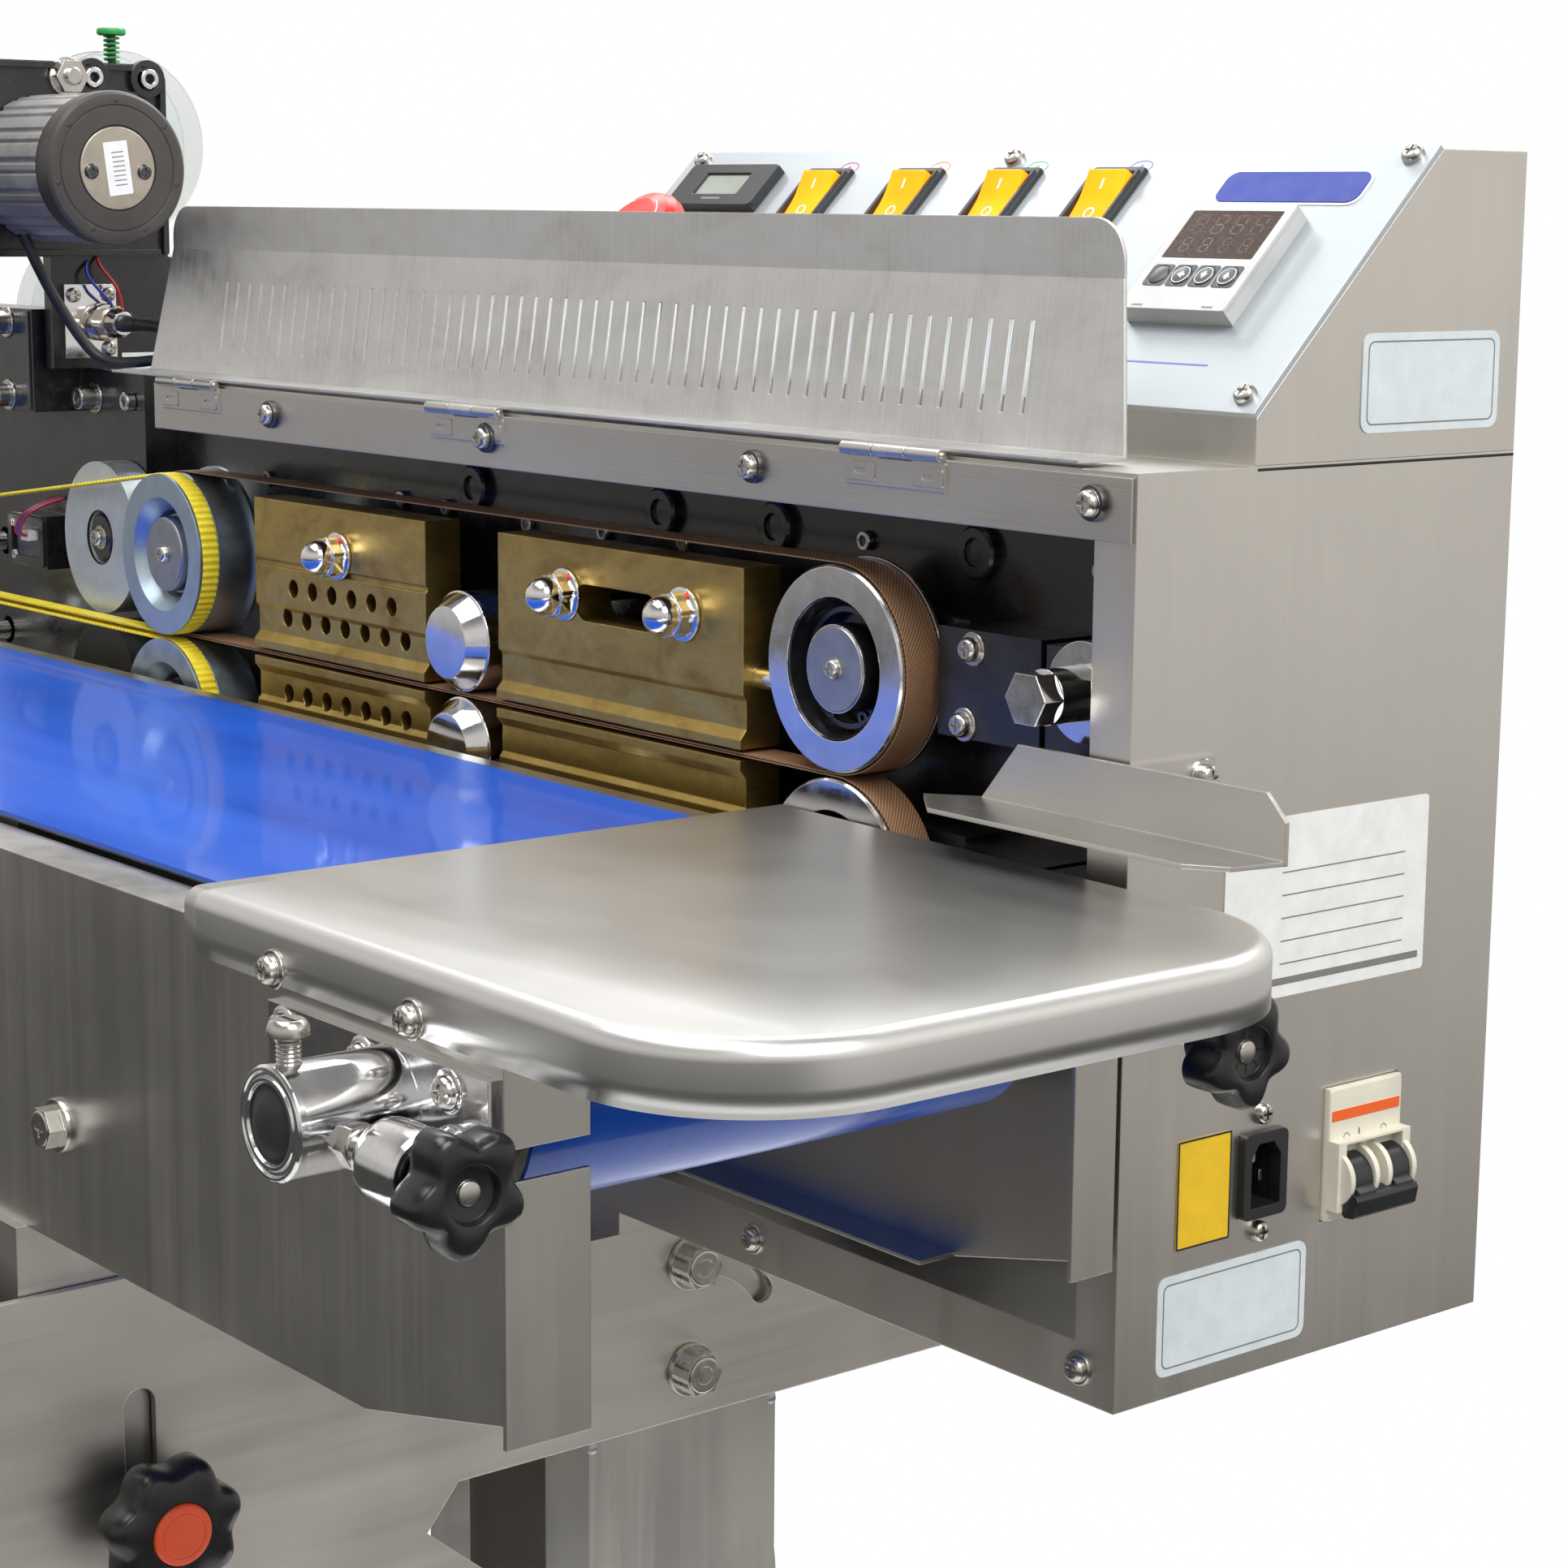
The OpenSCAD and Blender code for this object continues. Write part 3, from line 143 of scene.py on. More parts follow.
class Graph:
    """A material's node tree with short calls for the nodes used here."""

    def __init__(self, name, color, metallic=0.0, roughness=0.5, **sockets):
        self.material = bpy.data.materials.new(name)
        self.material.use_nodes = True
        self.tree = self.material.node_tree
        self.shader = self.tree.nodes["Principled BSDF"]
        self.set("Base Color", (*color, 1))
        self.set("Metallic", metallic)
        self.set("Roughness", roughness)
        for key, value in sockets.items():
            self.set(key.replace("_", " "), value)

    def set(self, socket, value):
        """Sets a value on the shader's own socket, or links a node's output to it."""
        fill(self.tree, self.shader.inputs[socket], value)

    def node(self, kind, inputs=(), **props):
        return add_node(self.tree, kind, inputs, **props)

    def coords(self, scale, turn=(0, 0, 0)):
        """The object's own coordinates, stretched and turned."""
        source = self.node("ShaderNodeTexCoord").outputs["Object"]
        return self.node("ShaderNodeMapping", {"Vector": source, "Scale": scale, "Rotation": turn}).outputs[0]

    def noise(self, scale, detail=2.0, rough=0.5, turn=(0, 0, 0), distortion=0.0):
        """Noise with so many cells a metre: one number, or one for each axis."""
        scale = scale if hasattr(scale, "__len__") else (scale, scale, scale)
        inputs = {"Vector": self.coords(scale, turn), "Scale": 1.0, "Detail": detail,
                  "Roughness": rough, "Distortion": distortion}
        return self.node("ShaderNodeTexNoise", inputs).outputs[0]

    def ramp(self, fac, stops):
        """Colours at the given places along a value."""
        made = self.node("ShaderNodeValToRGB", {"Fac": fac})
        elements = made.color_ramp.elements
        while len(elements) < len(stops):
            elements.new(0.5)
        for element, (at, value) in zip(elements, stops):
            element.position = at
            element.color = (*value, 1) if hasattr(value, "__len__") else (value, value, value, 1)
        return made.outputs[0]

    def math(self, op, a, b=0.5, c=0.5):
        return self.node("ShaderNodeMath", {0: a, 1: b, 2: c}, operation=op).outputs[0]

    def blend(self, a, b, share=0.5):
        """Two values added up, the first by its share and the second by the rest."""
        return self.math("MULTIPLY_ADD", a, share, self.math("MULTIPLY", b, 1 - share))

    def spread(self, value, low, high, new_low, new_high):
        """Moves a value from one range to another."""
        return self.node("ShaderNodeMapRange", span_inputs(value, low, high, new_low, new_high)).outputs[0]

    def mix(self, fac, a, b):
        """Colour a, with the colour b laid over it by the factor."""
        return self.node("ShaderNodeMix", {0: fac, 6: a, 7: (*b, 1)}, data_type="RGBA").outputs[2]

    def tones(self, value, *stops):
        self.set("Base Color", self.ramp(value, stops))

    def polish(self, value, low, high, smooth, rough):
        """Roughness that follows a value's range."""
        self.set("Roughness", self.spread(value, low, high, smooth, rough))

    def bump(self, height, strength, distance=FINE, edge=0.0):
        """Fine relief, over edges rounded by the bevel node where a radius is given."""
        inputs = {"Height": height, "Strength": strength, "Distance": distance}
        if edge:
            inputs["Normal"] = self.node("ShaderNodeBevel", {"Radius": edge}, samples=4).outputs[0]
        self.set("Normal", self.node("ShaderNodeBump", inputs).outputs[0])


def brushed(name, color, along, mottle=0.05):
    """Brushed sheet steel: along is the brushing direction's axis letter."""
    def stretched(across, lengthways):
        return tuple(lengthways if axis == along else across for axis in "XYZ")

    g = Graph(name, color, 1.0)
    lines = g.noise(stretched(1400, 14), 3, 0.6)
    clouds = g.noise(9, 3, 0.55)
    streaks = g.noise(stretched(120, 2))
    both = g.blend(lines, streaks)
    g.tones(g.blend(clouds, both, 0.6), (0.3, tint(color, 1 - 2.4 * mottle)), (0.7, tint(color, 1 + mottle)))
    g.polish(g.blend(clouds, both), 0.3, 0.7, 0.26, 0.42)
    g.bump(lines, 0.12, edge=0.0006)
    return g.material


def enamel(name, color, rough=0.22):
    """Glossy enamel with faint orange peel and dust."""
    g = Graph(name, color, Coat_Weight=0.3, Coat_Roughness=0.12)
    dust = g.noise(60, 4, 0.65)
    g.tones(dust, (0.45, color), (0.85, tint(color, 1.6, 0.012)))
    g.polish(dust, 0.35, 0.75, rough, rough + 0.18)
    g.bump(g.noise(700, 1), 0.06, edge=0.0008)
    return g.material


def plastic(name, color, rough=0.4, grain=0.1):
    """Moulded plastic with a fine spark-eroded grain."""
    g = Graph(name, color)
    wear = g.noise(40, 3, 0.6)
    g.tones(wear, (0.3, tint(color, 0.88)), (0.7, tint(color, 1.08)))
    g.polish(wear, 0.3, 0.7, rough - 0.06, rough + 0.08)
    g.bump(g.noise(1500, 2, 0.6), grain, edge=0.0006)
    return g.material


def plated(name, color, rough=0.08):
    """Chrome, zinc or turned metal with light handling marks."""
    g = Graph(name, color, 1.0)
    marks = g.noise(90, 4, 0.7)
    g.tones(marks, (0.35, tint(color, 0.86)), (0.7, color))
    g.polish(marks, 0.4, 0.75, rough, rough + 0.12)
    g.bump(g.noise((260, 1800, 260)), 0.04, edge=0.0005)
    return g.material


def old_brass():
    """Cast brass with machining lines, heat tint and dark grime."""
    base, bright, dark = (0.42, 0.285, 0.078), (0.54, 0.385, 0.115), (0.28, 0.17, 0.05)
    g = Graph("old_brass", base, 1.0)
    clouds = g.noise((38, 38, 60), 5, 0.62, distortion=0.6)
    lines = g.noise((30, 1200, 1200), 3, 0.6)
    grime = g.noise((16, 16, 34), 4, 0.7)
    tone = g.ramp(clouds, [(0.28, dark), (0.42, base), (0.60, bright), (0.78, base)])
    g.set("Base Color", g.mix(g.spread(grime, 0.55, 0.78, 0.0, 0.55), tone, dark))
    g.polish(clouds, 0.3, 0.7, 0.46, 0.26)
    g.bump(g.math("MULTIPLY_ADD", lines, 0.4, clouds), 0.14, 0.0003, 0.0008)
    return g.material


def blue_belt():
    """Glossy blue belt, smeared along its run."""
    g = Graph("blue_belt", (0.004, 0.085, 0.52), Coat_Weight=0.28, Coat_Roughness=0.06,
              Specular_IOR_Level=0.2)
    smears = g.noise((3, 26, 26), 4, 0.6)
    g.tones(smears, (0.3, (0.003, 0.07, 0.46)), (0.75, (0.006, 0.10, 0.58)))
    g.polish(smears, 0.3, 0.75, 0.26, 0.42)
    g.bump(g.noise(900, 1), 0.05)
    return g.material


def band_cloth():
    """Coated glass cloth: a fine diagonal weave, glazed and scorched in places."""
    g = Graph("band_cloth", (0.30, 0.16, 0.08))
    run = g.node("ShaderNodeUVMap").outputs[0]
    waves = []
    for turn in (52, -38):
        inputs = {"Vector": run, "Rotation": (0, 0, math.radians(turn))}
        across = g.node("ShaderNodeMapping", inputs).outputs[0]
        inputs = {"Vector": across, "Scale": 0.28, "Distortion": 0.3, "Detail": 1.0, "Detail Scale": 0.5}
        waves.append(g.node("ShaderNodeTexWave", inputs, bands_direction="X").outputs[1])
    weave = g.blend(*waves, 0.7)
    scorch = g.noise(30, 4, 0.7)
    tone = g.ramp(weave, [(0.0, (0.13, 0.065, 0.03)), (0.5, (0.33, 0.185, 0.10)), (1.0, (0.45, 0.27, 0.16))])
    g.set("Base Color", g.mix(g.spread(scorch, 0.5, 0.8, 0.0, 0.6), tone, (0.10, 0.05, 0.025)))
    g.polish(scorch, 0.3, 0.7, 0.34, 0.52)
    g.bump(weave, 0.35, 0.0003)
    return g.material


def rubber(name, color, rough=0.55):
    """Matt rubber, dusty in patches."""
    g = Graph(name, color)
    dust = g.noise(50, 4, 0.7)
    g.tones(dust, (0.4, color), (0.85, tint(color, 1.4, 0.02)))
    g.polish(dust, 0.3, 0.75, rough - 0.08, rough + 0.12)
    g.bump(g.noise(1300, 2, 0.6), 0.15, 0.0003, 0.0008)
    return g.material


def amber():
    """Translucent amber plastic with a painted glow: emission in its own colour keeps it bright."""
    # painted glow: the emission strength and colour make the amber shine as if lit from within
    g = Graph("amber", (1.0, 0.36, 0.005), roughness=0.24, Coat_Weight=0.05, Coat_Roughness=0.05,
              Specular_IOR_Level=0.15, Emission_Strength=0.75, Subsurface_Weight=0.25,
              Subsurface_Radius=(0.006, 0.003, 0.001))
    tone = g.ramp(g.noise(30), [(0.3, (0.95, 0.27, 0.003)), (0.7, (1.0, 0.38, 0.008))])
    g.set("Base Color", tone)
    g.set("Emission Color", tone)
    g.bump(g.noise(300, 1), 0.03, edge=0.0008)
    return g.material


def clear_plastic():
    """Clear moulding with a faint haze."""
    g = Graph("clear_plastic", (0.90, 0.95, 0.96), Transmission_Weight=0.95, IOR=1.2)
    g.polish(g.noise(40, 3, 0.6), 0.3, 0.8, 0.03, 0.16)
    return g.material


def printed_panel():
    """Silver printed film: a fine lengthways brushing under a satin coat."""
    g = Graph("printed_panel", (0.42, 0.455, 0.48), 0.42, Coat_Weight=0.15, Coat_Roughness=0.3)
    lines = g.noise((8, 1600, 1600))
    g.tones(g.noise(6), (0.3, (0.405, 0.44, 0.465)), (0.7, (0.435, 0.47, 0.495)))
    g.polish(lines, 0.3, 0.7, 0.3, 0.4)
    g.bump(lines, 0.03, edge=0.0006)
    return g.material


def ink(name, color, rough=0.45):
    """Printed ink or vinyl: slightly uneven, with a soft sheen."""
    g = Graph(name, color, Coat_Weight=0.25, Coat_Roughness=0.2)
    cloud = g.noise(120, 3, 0.6)
    g.tones(cloud, (0.3, tint(color, 0.93)), (0.7, tint(color, 1.04)))
    g.polish(cloud, 0.3, 0.7, rough - 0.08, rough + 0.08)
    g.bump(g.noise(900, 1), 0.04, 0.0001)
    return g.material


def tray_steel():
    """Satin sheet with fine brushing, faint sweeps of polishing and finger marks."""
    g = Graph("tray_steel", (0.66, 0.655, 0.64), 1.0)
    lines = g.noise((14, 1500, 1500), 3, 0.6)
    sweep = g.noise((6, 46, 6), turn=(0, 0, math.radians(24)))
    both = g.blend(lines, sweep)
    g.tones(both, (0.3, (0.69, 0.685, 0.67)), (0.7, (0.715, 0.71, 0.695)))
    g.polish(g.blend(g.noise(24, 4, 0.6), both), 0.32, 0.68, 0.31, 0.36)
    g.bump(lines, 0.02, 0.0001, 0.0006)
    return g.material


def cover_steel():
    """Cover sheet: upright brushing crossed by slanting polish strokes, with clouded stains."""
    g = Graph("cover_steel", (0.62, 0.62, 0.61), 1.0)
    fine = g.noise((1500, 1500, 18), 3, 0.6)
    slant = g.noise((900, 40, 30), 4, 0.7, (0, math.radians(24), 0))
    stain = g.noise((20, 20, 34), 5, 0.68, distortion=0.8)
    ticks = g.noise((160, 160, 60), 6, 0.8, (0, math.radians(-30), 0))
    g.tones(g.blend(stain, slant, 0.65),
            (0.30, (0.56, 0.555, 0.545)), (0.5, (0.70, 0.695, 0.685)), (0.68, (0.77, 0.77, 0.765)))
    g.polish(g.blend(stain, slant), 0.35, 0.65, 0.30, 0.44)
    g.bump(g.blend(fine, g.math("GREATER_THAN", ticks, 0.68)), 0.16, edge=0.0006)
    return g.material


def display_glass():
    """Dark brown window with a faint speckle of the unlit display behind it."""
    g = Graph("display_glass", (0.055, 0.035, 0.028), Coat_Weight=1.0, Coat_Roughness=0.05)
    dots = g.noise(2200, 0)
    g.tones(dots, (0.35, (0.045, 0.028, 0.022)), (0.7, (0.085, 0.05, 0.038)))
    g.polish(dots, 0.3, 0.7, 0.08, 0.2)
    return g.material


STEEL, WARM_STEEL = (0.60, 0.585, 0.55), (0.66, 0.635, 0.59)
M = {
    "sheet_x": brushed("steel_brushed_x", STEEL, "X"),
    "sheet_y": brushed("steel_brushed_y", (0.66, 0.63, 0.585), "Y", 0.03),
    "sheet_z": brushed("steel_brushed_z", STEEL, "Z"),
    "cabinet": brushed("cabinet_steel", WARM_STEEL, "Z"),
    "tray": tray_steel(),
    "cover": cover_steel(),
    "brass": old_brass(),
    "band": band_cloth(),
    "belt": blue_belt(),
    "amber": amber(),
    "panel": printed_panel(),
    "clear": clear_plastic(),
    "display": display_glass(),
    "black": enamel("black_enamel", (0.008, 0.008, 0.010)),
    "motor": enamel("motor_casting", (0.24, 0.235, 0.235), 0.34),
    "chrome": plated("chrome_plate", (0.80, 0.80, 0.81)),
    "old_chrome": plated("tinted_chrome", (0.62, 0.56, 0.46), 0.14),
    "zinc": plated("zinc_plate", (0.66, 0.65, 0.62), 0.24),
    "screw": plated("screw_steel", (0.58, 0.56, 0.52), 0.2),
    # painted reflection: the blue in these two steels' colour stands for the blue that the wheels and disc
    # reflect
    "disc": plated("satin_disc", (0.72, 0.78, 0.82), 0.42),
    "wheel": plated("satin_wheel", (0.46, 0.56, 0.63), 0.36),
    "plate_beige": plated("motor_plate_steel", (0.50, 0.46, 0.39), 0.4),
    "dull_steel": plated("turned_steel", (0.42, 0.43, 0.45), 0.32),
    "dark_steel": plated("dark_steel", (0.12, 0.12, 0.125), 0.28),
    "guide": rubber("yellow_rubber", (0.80, 0.62, 0.03), 0.45),
    "rubber": rubber("black_rubber", (0.014, 0.014, 0.015)),
    # painted shadow: near-black matt look for strips that stand in for the shade in narrow gaps
    "inside": rubber("inside_shadow", (0.012, 0.011, 0.010), 0.8),
    "lead": rubber("cable_jacket", (0.012, 0.012, 0.013), 0.4),
    "black_plastic": plastic("black_plastic", (0.016, 0.016, 0.018), 0.36),
    "grey_plastic": plastic("grey_plastic", (0.52, 0.53, 0.52), 0.42),
    "dark_plastic": plastic("dark_key_plastic", (0.045, 0.05, 0.055), 0.3, 0.05),
    "knob": plastic("knob_moulding", (0.012, 0.012, 0.013), 0.24, 0.06),
    "motor_cap": plastic("motor_shield", (0.052, 0.047, 0.043), 0.42),
    "cream": plastic("cream_plastic", (0.74, 0.71, 0.60)),
    "red": plastic("red_plastic", (0.78, 0.02, 0.012), 0.3, 0.05),
    "cap_red": plastic("orange_red_cap", (0.85, 0.10, 0.03), 0.34, 0.06),
    "green": plastic("green_plastic", (0.02, 0.30, 0.06), 0.35, 0.05),
    "wire_red": plastic("red_wire", (0.50, 0.02, 0.02), 0.4, 0.05),
    "wire_blue": plastic("blue_wire", (0.02, 0.06, 0.45), 0.4, 0.05),
    "label_white": ink("white_label", (0.82, 0.83, 0.82)),
    "label_pale": ink("pale_label", (0.66, 0.73, 0.76)),
    "label_yellow": ink("yellow_label", (0.83, 0.53, 0.01)),
    "badge_blue": ink("blue_badge", (0.006, 0.03, 0.30), 0.6),
    "ink_grey": ink("grey_ink", (0.20, 0.20, 0.20)),
    "ink_dark": ink("dark_ink", (0.02, 0.02, 0.02)),
    "ink_magenta": ink("magenta_ink", (0.55, 0.06, 0.18)),
    "ink_orange": ink("orange_ink", (0.80, 0.22, 0.06)),
    "ink_green": ink("green_ink", (0.05, 0.45, 0.10)),
    "ink_blue": ink("blue_ink", (0.12, 0.18, 0.55)),
    "orange": ink("orange_stripe", (0.85, 0.12, 0.01)),
    "mark_white": ink("white_mark", (0.85, 0.85, 0.83)),
    "lcd": ink("lcd_glass", (0.30, 0.33, 0.29), 0.15),
    "segment": ink("unlit_segment", (0.085, 0.05, 0.036), 0.2),
}

LOOK_OF_NODES = {
    "sheet_x": "hinge_rail back_cover infeed_guide",
    "sheet_y": "yoke_frame",
    "sheet_z": "base_frame column conveyor_frame",
    "cabinet": "cabinet_shell control_box",
    "tray": "infeed_tray",
    "cover": "vent_cover",
    "brass": "heating_blocks cooling_blocks",
    "band": "seal_bands",
    "belt": "conveyor_belt",
    "panel": "control_panel",
    "clear": "upper_reel lower_reel",
    "black": "mechanism_plate tension_blocks coder_frame",
    "motor": "drive_motor coder_motor",
    "zinc": "tilt_bolts drive_roller idler_roller",
    "disc": "print_wheel",
    "wheel": "drive_wheel_upper drive_wheel_lower",
    "chrome": "block_fittings cable_gland takeup_brackets idler_wheel_upper idler_wheel_lower "
              "pressure_roller_upper pressure_roller_lower guide_pulley_upper guide_pulley_lower "
              "band_adjusters",
    "guide": "guide_belts",
    "rubber": "levelling_feet rubber_roller",
    "black_plastic": "panel_fittings inlet_socket coder_cables front_star_knob back_star_knob "
                     "breaker_toggle clamp_knob",
    "grey_plastic": "temp_controller key_1 key_2 key_3 key_4",
    "amber": "rocker_1 rocker_2 rocker_3 rocker_4",
    "cream": "breaker_body",
    "red": "estop_button",
}
for look, nodes in LOOK_OF_NODES.items():
    for name in nodes.split():
        slots = frame["nodes"][name].data.materials
        slots.clear()
        slots.append(M[look])


# mesh building ----------------------------------------------------------------

FRONT, BACK, SIDE, TOP = (0, -1, 0), (0, 1, 0), (1, 0, 0), (0, 0, 1)
STEEP = math.sqrt(0.5)           # the control panel slopes at 45 degrees


def at(x, y, z, out=FRONT, up=TOP):
    """A frame in millimetres whose z axis points out and whose y axis points up."""
    o = Vector(out).normalized()
    r = Vector(up).cross(o).normalized()
    u = o.cross(r)
    return Matrix(((r.x, u.x, o.x, x), (r.y, u.y, o.y, y), (r.z, u.z, o.z, z), (0, 0, 0, 1)))


PANEL_FOOT = (51.5, 315)         # y and z where the sloping sheet starts
PANEL_SKIN = 2.0                 # the printed panel's own thickness


def on_panel(x, s, height=PANEL_SKIN):
    """A frame on the sloping panel: x along it, s up the slope."""
    y, z = PANEL_FOOT
    return at(x, y + (s - height) * STEEP, z + (s + height) * STEEP, (0, -1, 1), (0, 1, 1))


ORIGIN = Matrix.Identity(4)


def moved(frame, x, y, z):
    return frame @ Matrix.Translation((x, y, z))


def turned(frame, degrees, axis="Z"):
    return frame @ Matrix.Rotation(math.radians(degrees), 4, axis)


def circle(r, sides=32, cx=0.0, cy=0.0, start=0.0):
    """Outline of a round hole or disc."""
    angles = [math.tau * k / sides + start for k in range(sides)]
    return [(cx + r * math.cos(a), cy + r * math.sin(a)) for a in angles]


def hexagon(flats, start=0.0):
    """Outline of a nut, from the size across its flats."""
    return circle(flats / math.sqrt(3), 6, start=start)


def rounded(w, h, r, cx=0.0, cy=0.0, steps=5):
    """Rectangle with round corners, centred on (cx, cy)."""
    points = []
    for k, (sx, sy) in enumerate(((1, 1), (-1, 1), (-1, -1), (1, -1))):
        for i in range(steps + 1):
            a = math.radians(90 * (k + i / steps))
            points.append((cx + sx * (w / 2 - r) + r * math.cos(a), cy + sy * (h / 2 - r) + r * math.sin(a)))
    return points


def cross(r, w):
    """Phillips recess: four arms of half width w that taper to the tip."""
    points = []
    for k in range(4):
        c, s = math.cos(math.pi / 2 * k), math.sin(math.pi / 2 * k)
        for x, y in ((w, -w), (r, -0.6 * w), (r, 0.6 * w)):
            points.append((x * c - y * s, x * s + y * c))
    return points


def lobed(r, lobes, depth, sides=120, start=0.0):
    """Outline of a hand knob: full round lobes with narrower hollows between."""
    points = []
    for k in range(sides):
        a = math.tau * k / sides
        reach = r * (1 - depth * (0.5 - 0.5 * math.cos(lobes * a)) ** 1.15)
        points.append((reach * math.cos(a + start), reach * math.sin(a + start)))
    return points


def scaled(outline, scale, height):
    return [(x * scale, y * scale, height) for x, y in outline]


def rounded_off(outline, r, height):
    """The outline's points moved in or out to one radius, where a lobed skin meets a round part."""
    return [(r * x / math.hypot(x, y), r * y / math.hypot(x, y), height) for x, y in outline]


def flat_caps(*loops):
    """Triangles that fill the first outline and leave the others open."""
    return [list(t) for t in tessellate_polygon([[Vector((x, y, 0)) for x, y in loop] for loop in loops])]


def smooth_route(points, steps=5):
    """Catmull-Rom curve through a listed route."""
    p = [Vector(q) for q in (points[0], *points, points[-1])]
    out = []
    for a, b, c, d in zip(p, p[1:], p[2:], p[3:]):
        for k in range(steps):
            t = k / steps
            out.append(0.5 * (2 * b + (c - a) * t + (2 * a - 5 * b + 4 * c - d) * t * t
                              + (3 * b - a - 3 * c + d) * t ** 3))
    return out + [p[-1]]


class Piece:
    """A mesh drawn in millimetres from the cabinet's corner, one material slot for each look."""

    def __init__(self):
        self.mesh = bmesh.new()
        self.looks = []

    def add(self, look, frame, points, faces, uvs=None):
        """Adds faces given as lists of point numbers, and drops those left with no area."""
        if look not in self.looks:
            self.looks.append(look)
        verts = [self.mesh.verts.new(frame @ Vector(p)) for p in points]
        layer = self.mesh.loops.layers.uv.verify() if uvs else None
        for corners in faces:
            corners = list(dict.fromkeys(corners))
            if len(corners) < 3:
                continue
            face = self.mesh.faces.new([verts[i] for i in corners])
            face.material_index = self.looks.index(look)
            face.smooth = True
            if uvs:
                for loop, i in zip(face.loops, corners):
                    loop[layer].uv = uvs[i]

    def lathe(self, look, frame, profile, sides=32):
        """Turns (radius, height) points about the frame's z axis; a zero radius closes an end."""
        points, rings = [], []
        for r, h in profile:
            ring = [(0, 0, h)] if r == 0 else [(x, y, h) for x, y in circle(r, sides)]
            rings.append(range(len(points), len(points) + len(ring)))
            points += ring
        faces = []
        for a, b in zip(rings, rings[1:]):
            for k in range(sides):
                j = (k + 1) % sides
                faces.append([a[k % len(a)], a[j % len(a)], b[j % len(b)], b[k % len(b)]])
        self.add(look, frame, points, faces)

    def grid(self, look, frame, rows, closed=False, caps=False, uvs=None):
        """Skin over rows of points; closed joins each row's ends, caps fills the first and last row."""
        n = len(rows[0])
        points = [p for row in rows for p in row]
        faces = []
        for i in range(len(rows) - 1):
            for k in range(n if closed else n - 1):
                j = (k + 1) % n
                faces.append([i * n + k, i * n + j, (i + 1) * n + j, (i + 1) * n + k])
        if caps:
            faces += [list(range(n))[::-1], list(range(len(points) - n, len(points)))]
        self.add(look, frame, points, faces, uvs)

    def loft(self, look, frame, outline, steps, caps=True):
        """Stacks scaled copies of an outline, from (scale, height) steps."""
        rows = [scaled(outline, s, h) for s, h in steps]
        self.grid(look, frame, rows, closed=True, caps=caps)

    def slab(self, look, frame, outline, low, high, holes=()):
        """Plate between two heights with holes right through it."""
        loops = [list(outline), *[list(h) for h in holes]]
        flat = [p for loop in loops for p in loop]
        n = len(flat)
        points = [(x, y, low) for x, y in flat] + [(x, y, high) for x, y in flat]
        if holes:
            caps = flat_caps(*loops)
            faces = caps + [[i + n for i in t] for t in caps]
        else:
            faces = [list(range(n))[::-1], list(range(n, 2 * n))]
        first = 0
        for loop in loops:
            for k in range(len(loop)):
                a, b = first + k, first + (k + 1) % len(loop)
                faces.append([a, b, b + n, a + n])
            first += len(loop)
        self.add(look, frame, points, faces)

    def box(self, look, low, high, frame=ORIGIN):
        """Block between two opposite corners."""
        (x0, y0, z0), (x1, y1, z1) = low, high
        self.slab(look, frame, [(x0, y0), (x1, y0), (x1, y1), (x0, y1)], z0, z1)

    def recess(self, look, frame, ring, hole, top, floor):
        """Flat top inside a ring, with a pocket of the hole's outline sunk to the floor."""
        n, m = len(ring), len(hole)
        points = [(x, y, top) for x, y in (*ring, *hole)] + [(x, y, floor) for x, y in hole]
        faces = flat_caps(ring, hole) + [list(range(n + m, n + 2 * m))]
        faces += [[n + k, n + (k + 1) % m, n + m + (k + 1) % m, n + m + k] for k in range(m)]
        self.add(look, frame, points, faces)

    def screw(self, frame, r, h, kind="cross", look="screw", washer=0.0, ring="screw"):
        """Screw head with a cross, slot or socket in it, on a washer where a thickness is given."""
        if washer:
            rim = 1.36 * r
            self.lathe(ring, frame, [(r * 0.6, 0), (rim, 0), (rim, 0.6 * washer),
                                     (rim - 0.3, washer), (r * 0.6, washer)])
        b, flat = washer, 0.7 * r
        if kind == "socket":
            self.lathe(look, frame, [(0.9 * r, b), (r, b + 0.3), (r, b + h - 0.5), (0.9 * r, b + h),
                                     (flat, b + h)])
            hole, depth = hexagon(1.0 * r), 0.6 * h
        else:
            self.lathe(look, frame, [(r, b), (r, b + 0.3 * h), (0.95 * r, b + 0.62 * h),
                                     (0.85 * r, b + 0.86 * h), (flat, b + h)])
            hole, depth = cross(0.58 * r, 0.15 * r), 0.4 * h
            if kind == "slot":
                hole = rounded(1.3 * r, 0.3 * r, 0.05 * r, steps=1)
        self.recess(look, frame, circle(flat, 32), hole, b + h, b + h - depth)

    def bolt(self, frame, flats, h, washer_r=0.0, washer=0.0, look="screw", mark=True):
        """Hexagon head with a round chamfered top, crossed where mark is set."""
        if washer:
            self.lathe(look, frame, [(washer_r * 0.5, 0), (washer_r, 0), (washer_r, washer * 0.7),
                                     (washer_r - 0.3, washer), (washer_r * 0.5, washer)])
        self.slab(look, frame, hexagon(flats), washer, washer + h)
        r, top = flats * 0.47, washer + h
        self.lathe(look, frame, [(r, top), (r * 0.97, top + 0.35), (r * 0.9, top + 0.5),
                                 (r * 0.86, top + 0.5)])
        hole = cross(0.5 * r, 0.14 * r) if mark else circle(0.5 * r, 16)
        self.recess(look, frame, circle(r * 0.86, 32), hole, top + 0.5, top + (0.05 if mark else 0.4))

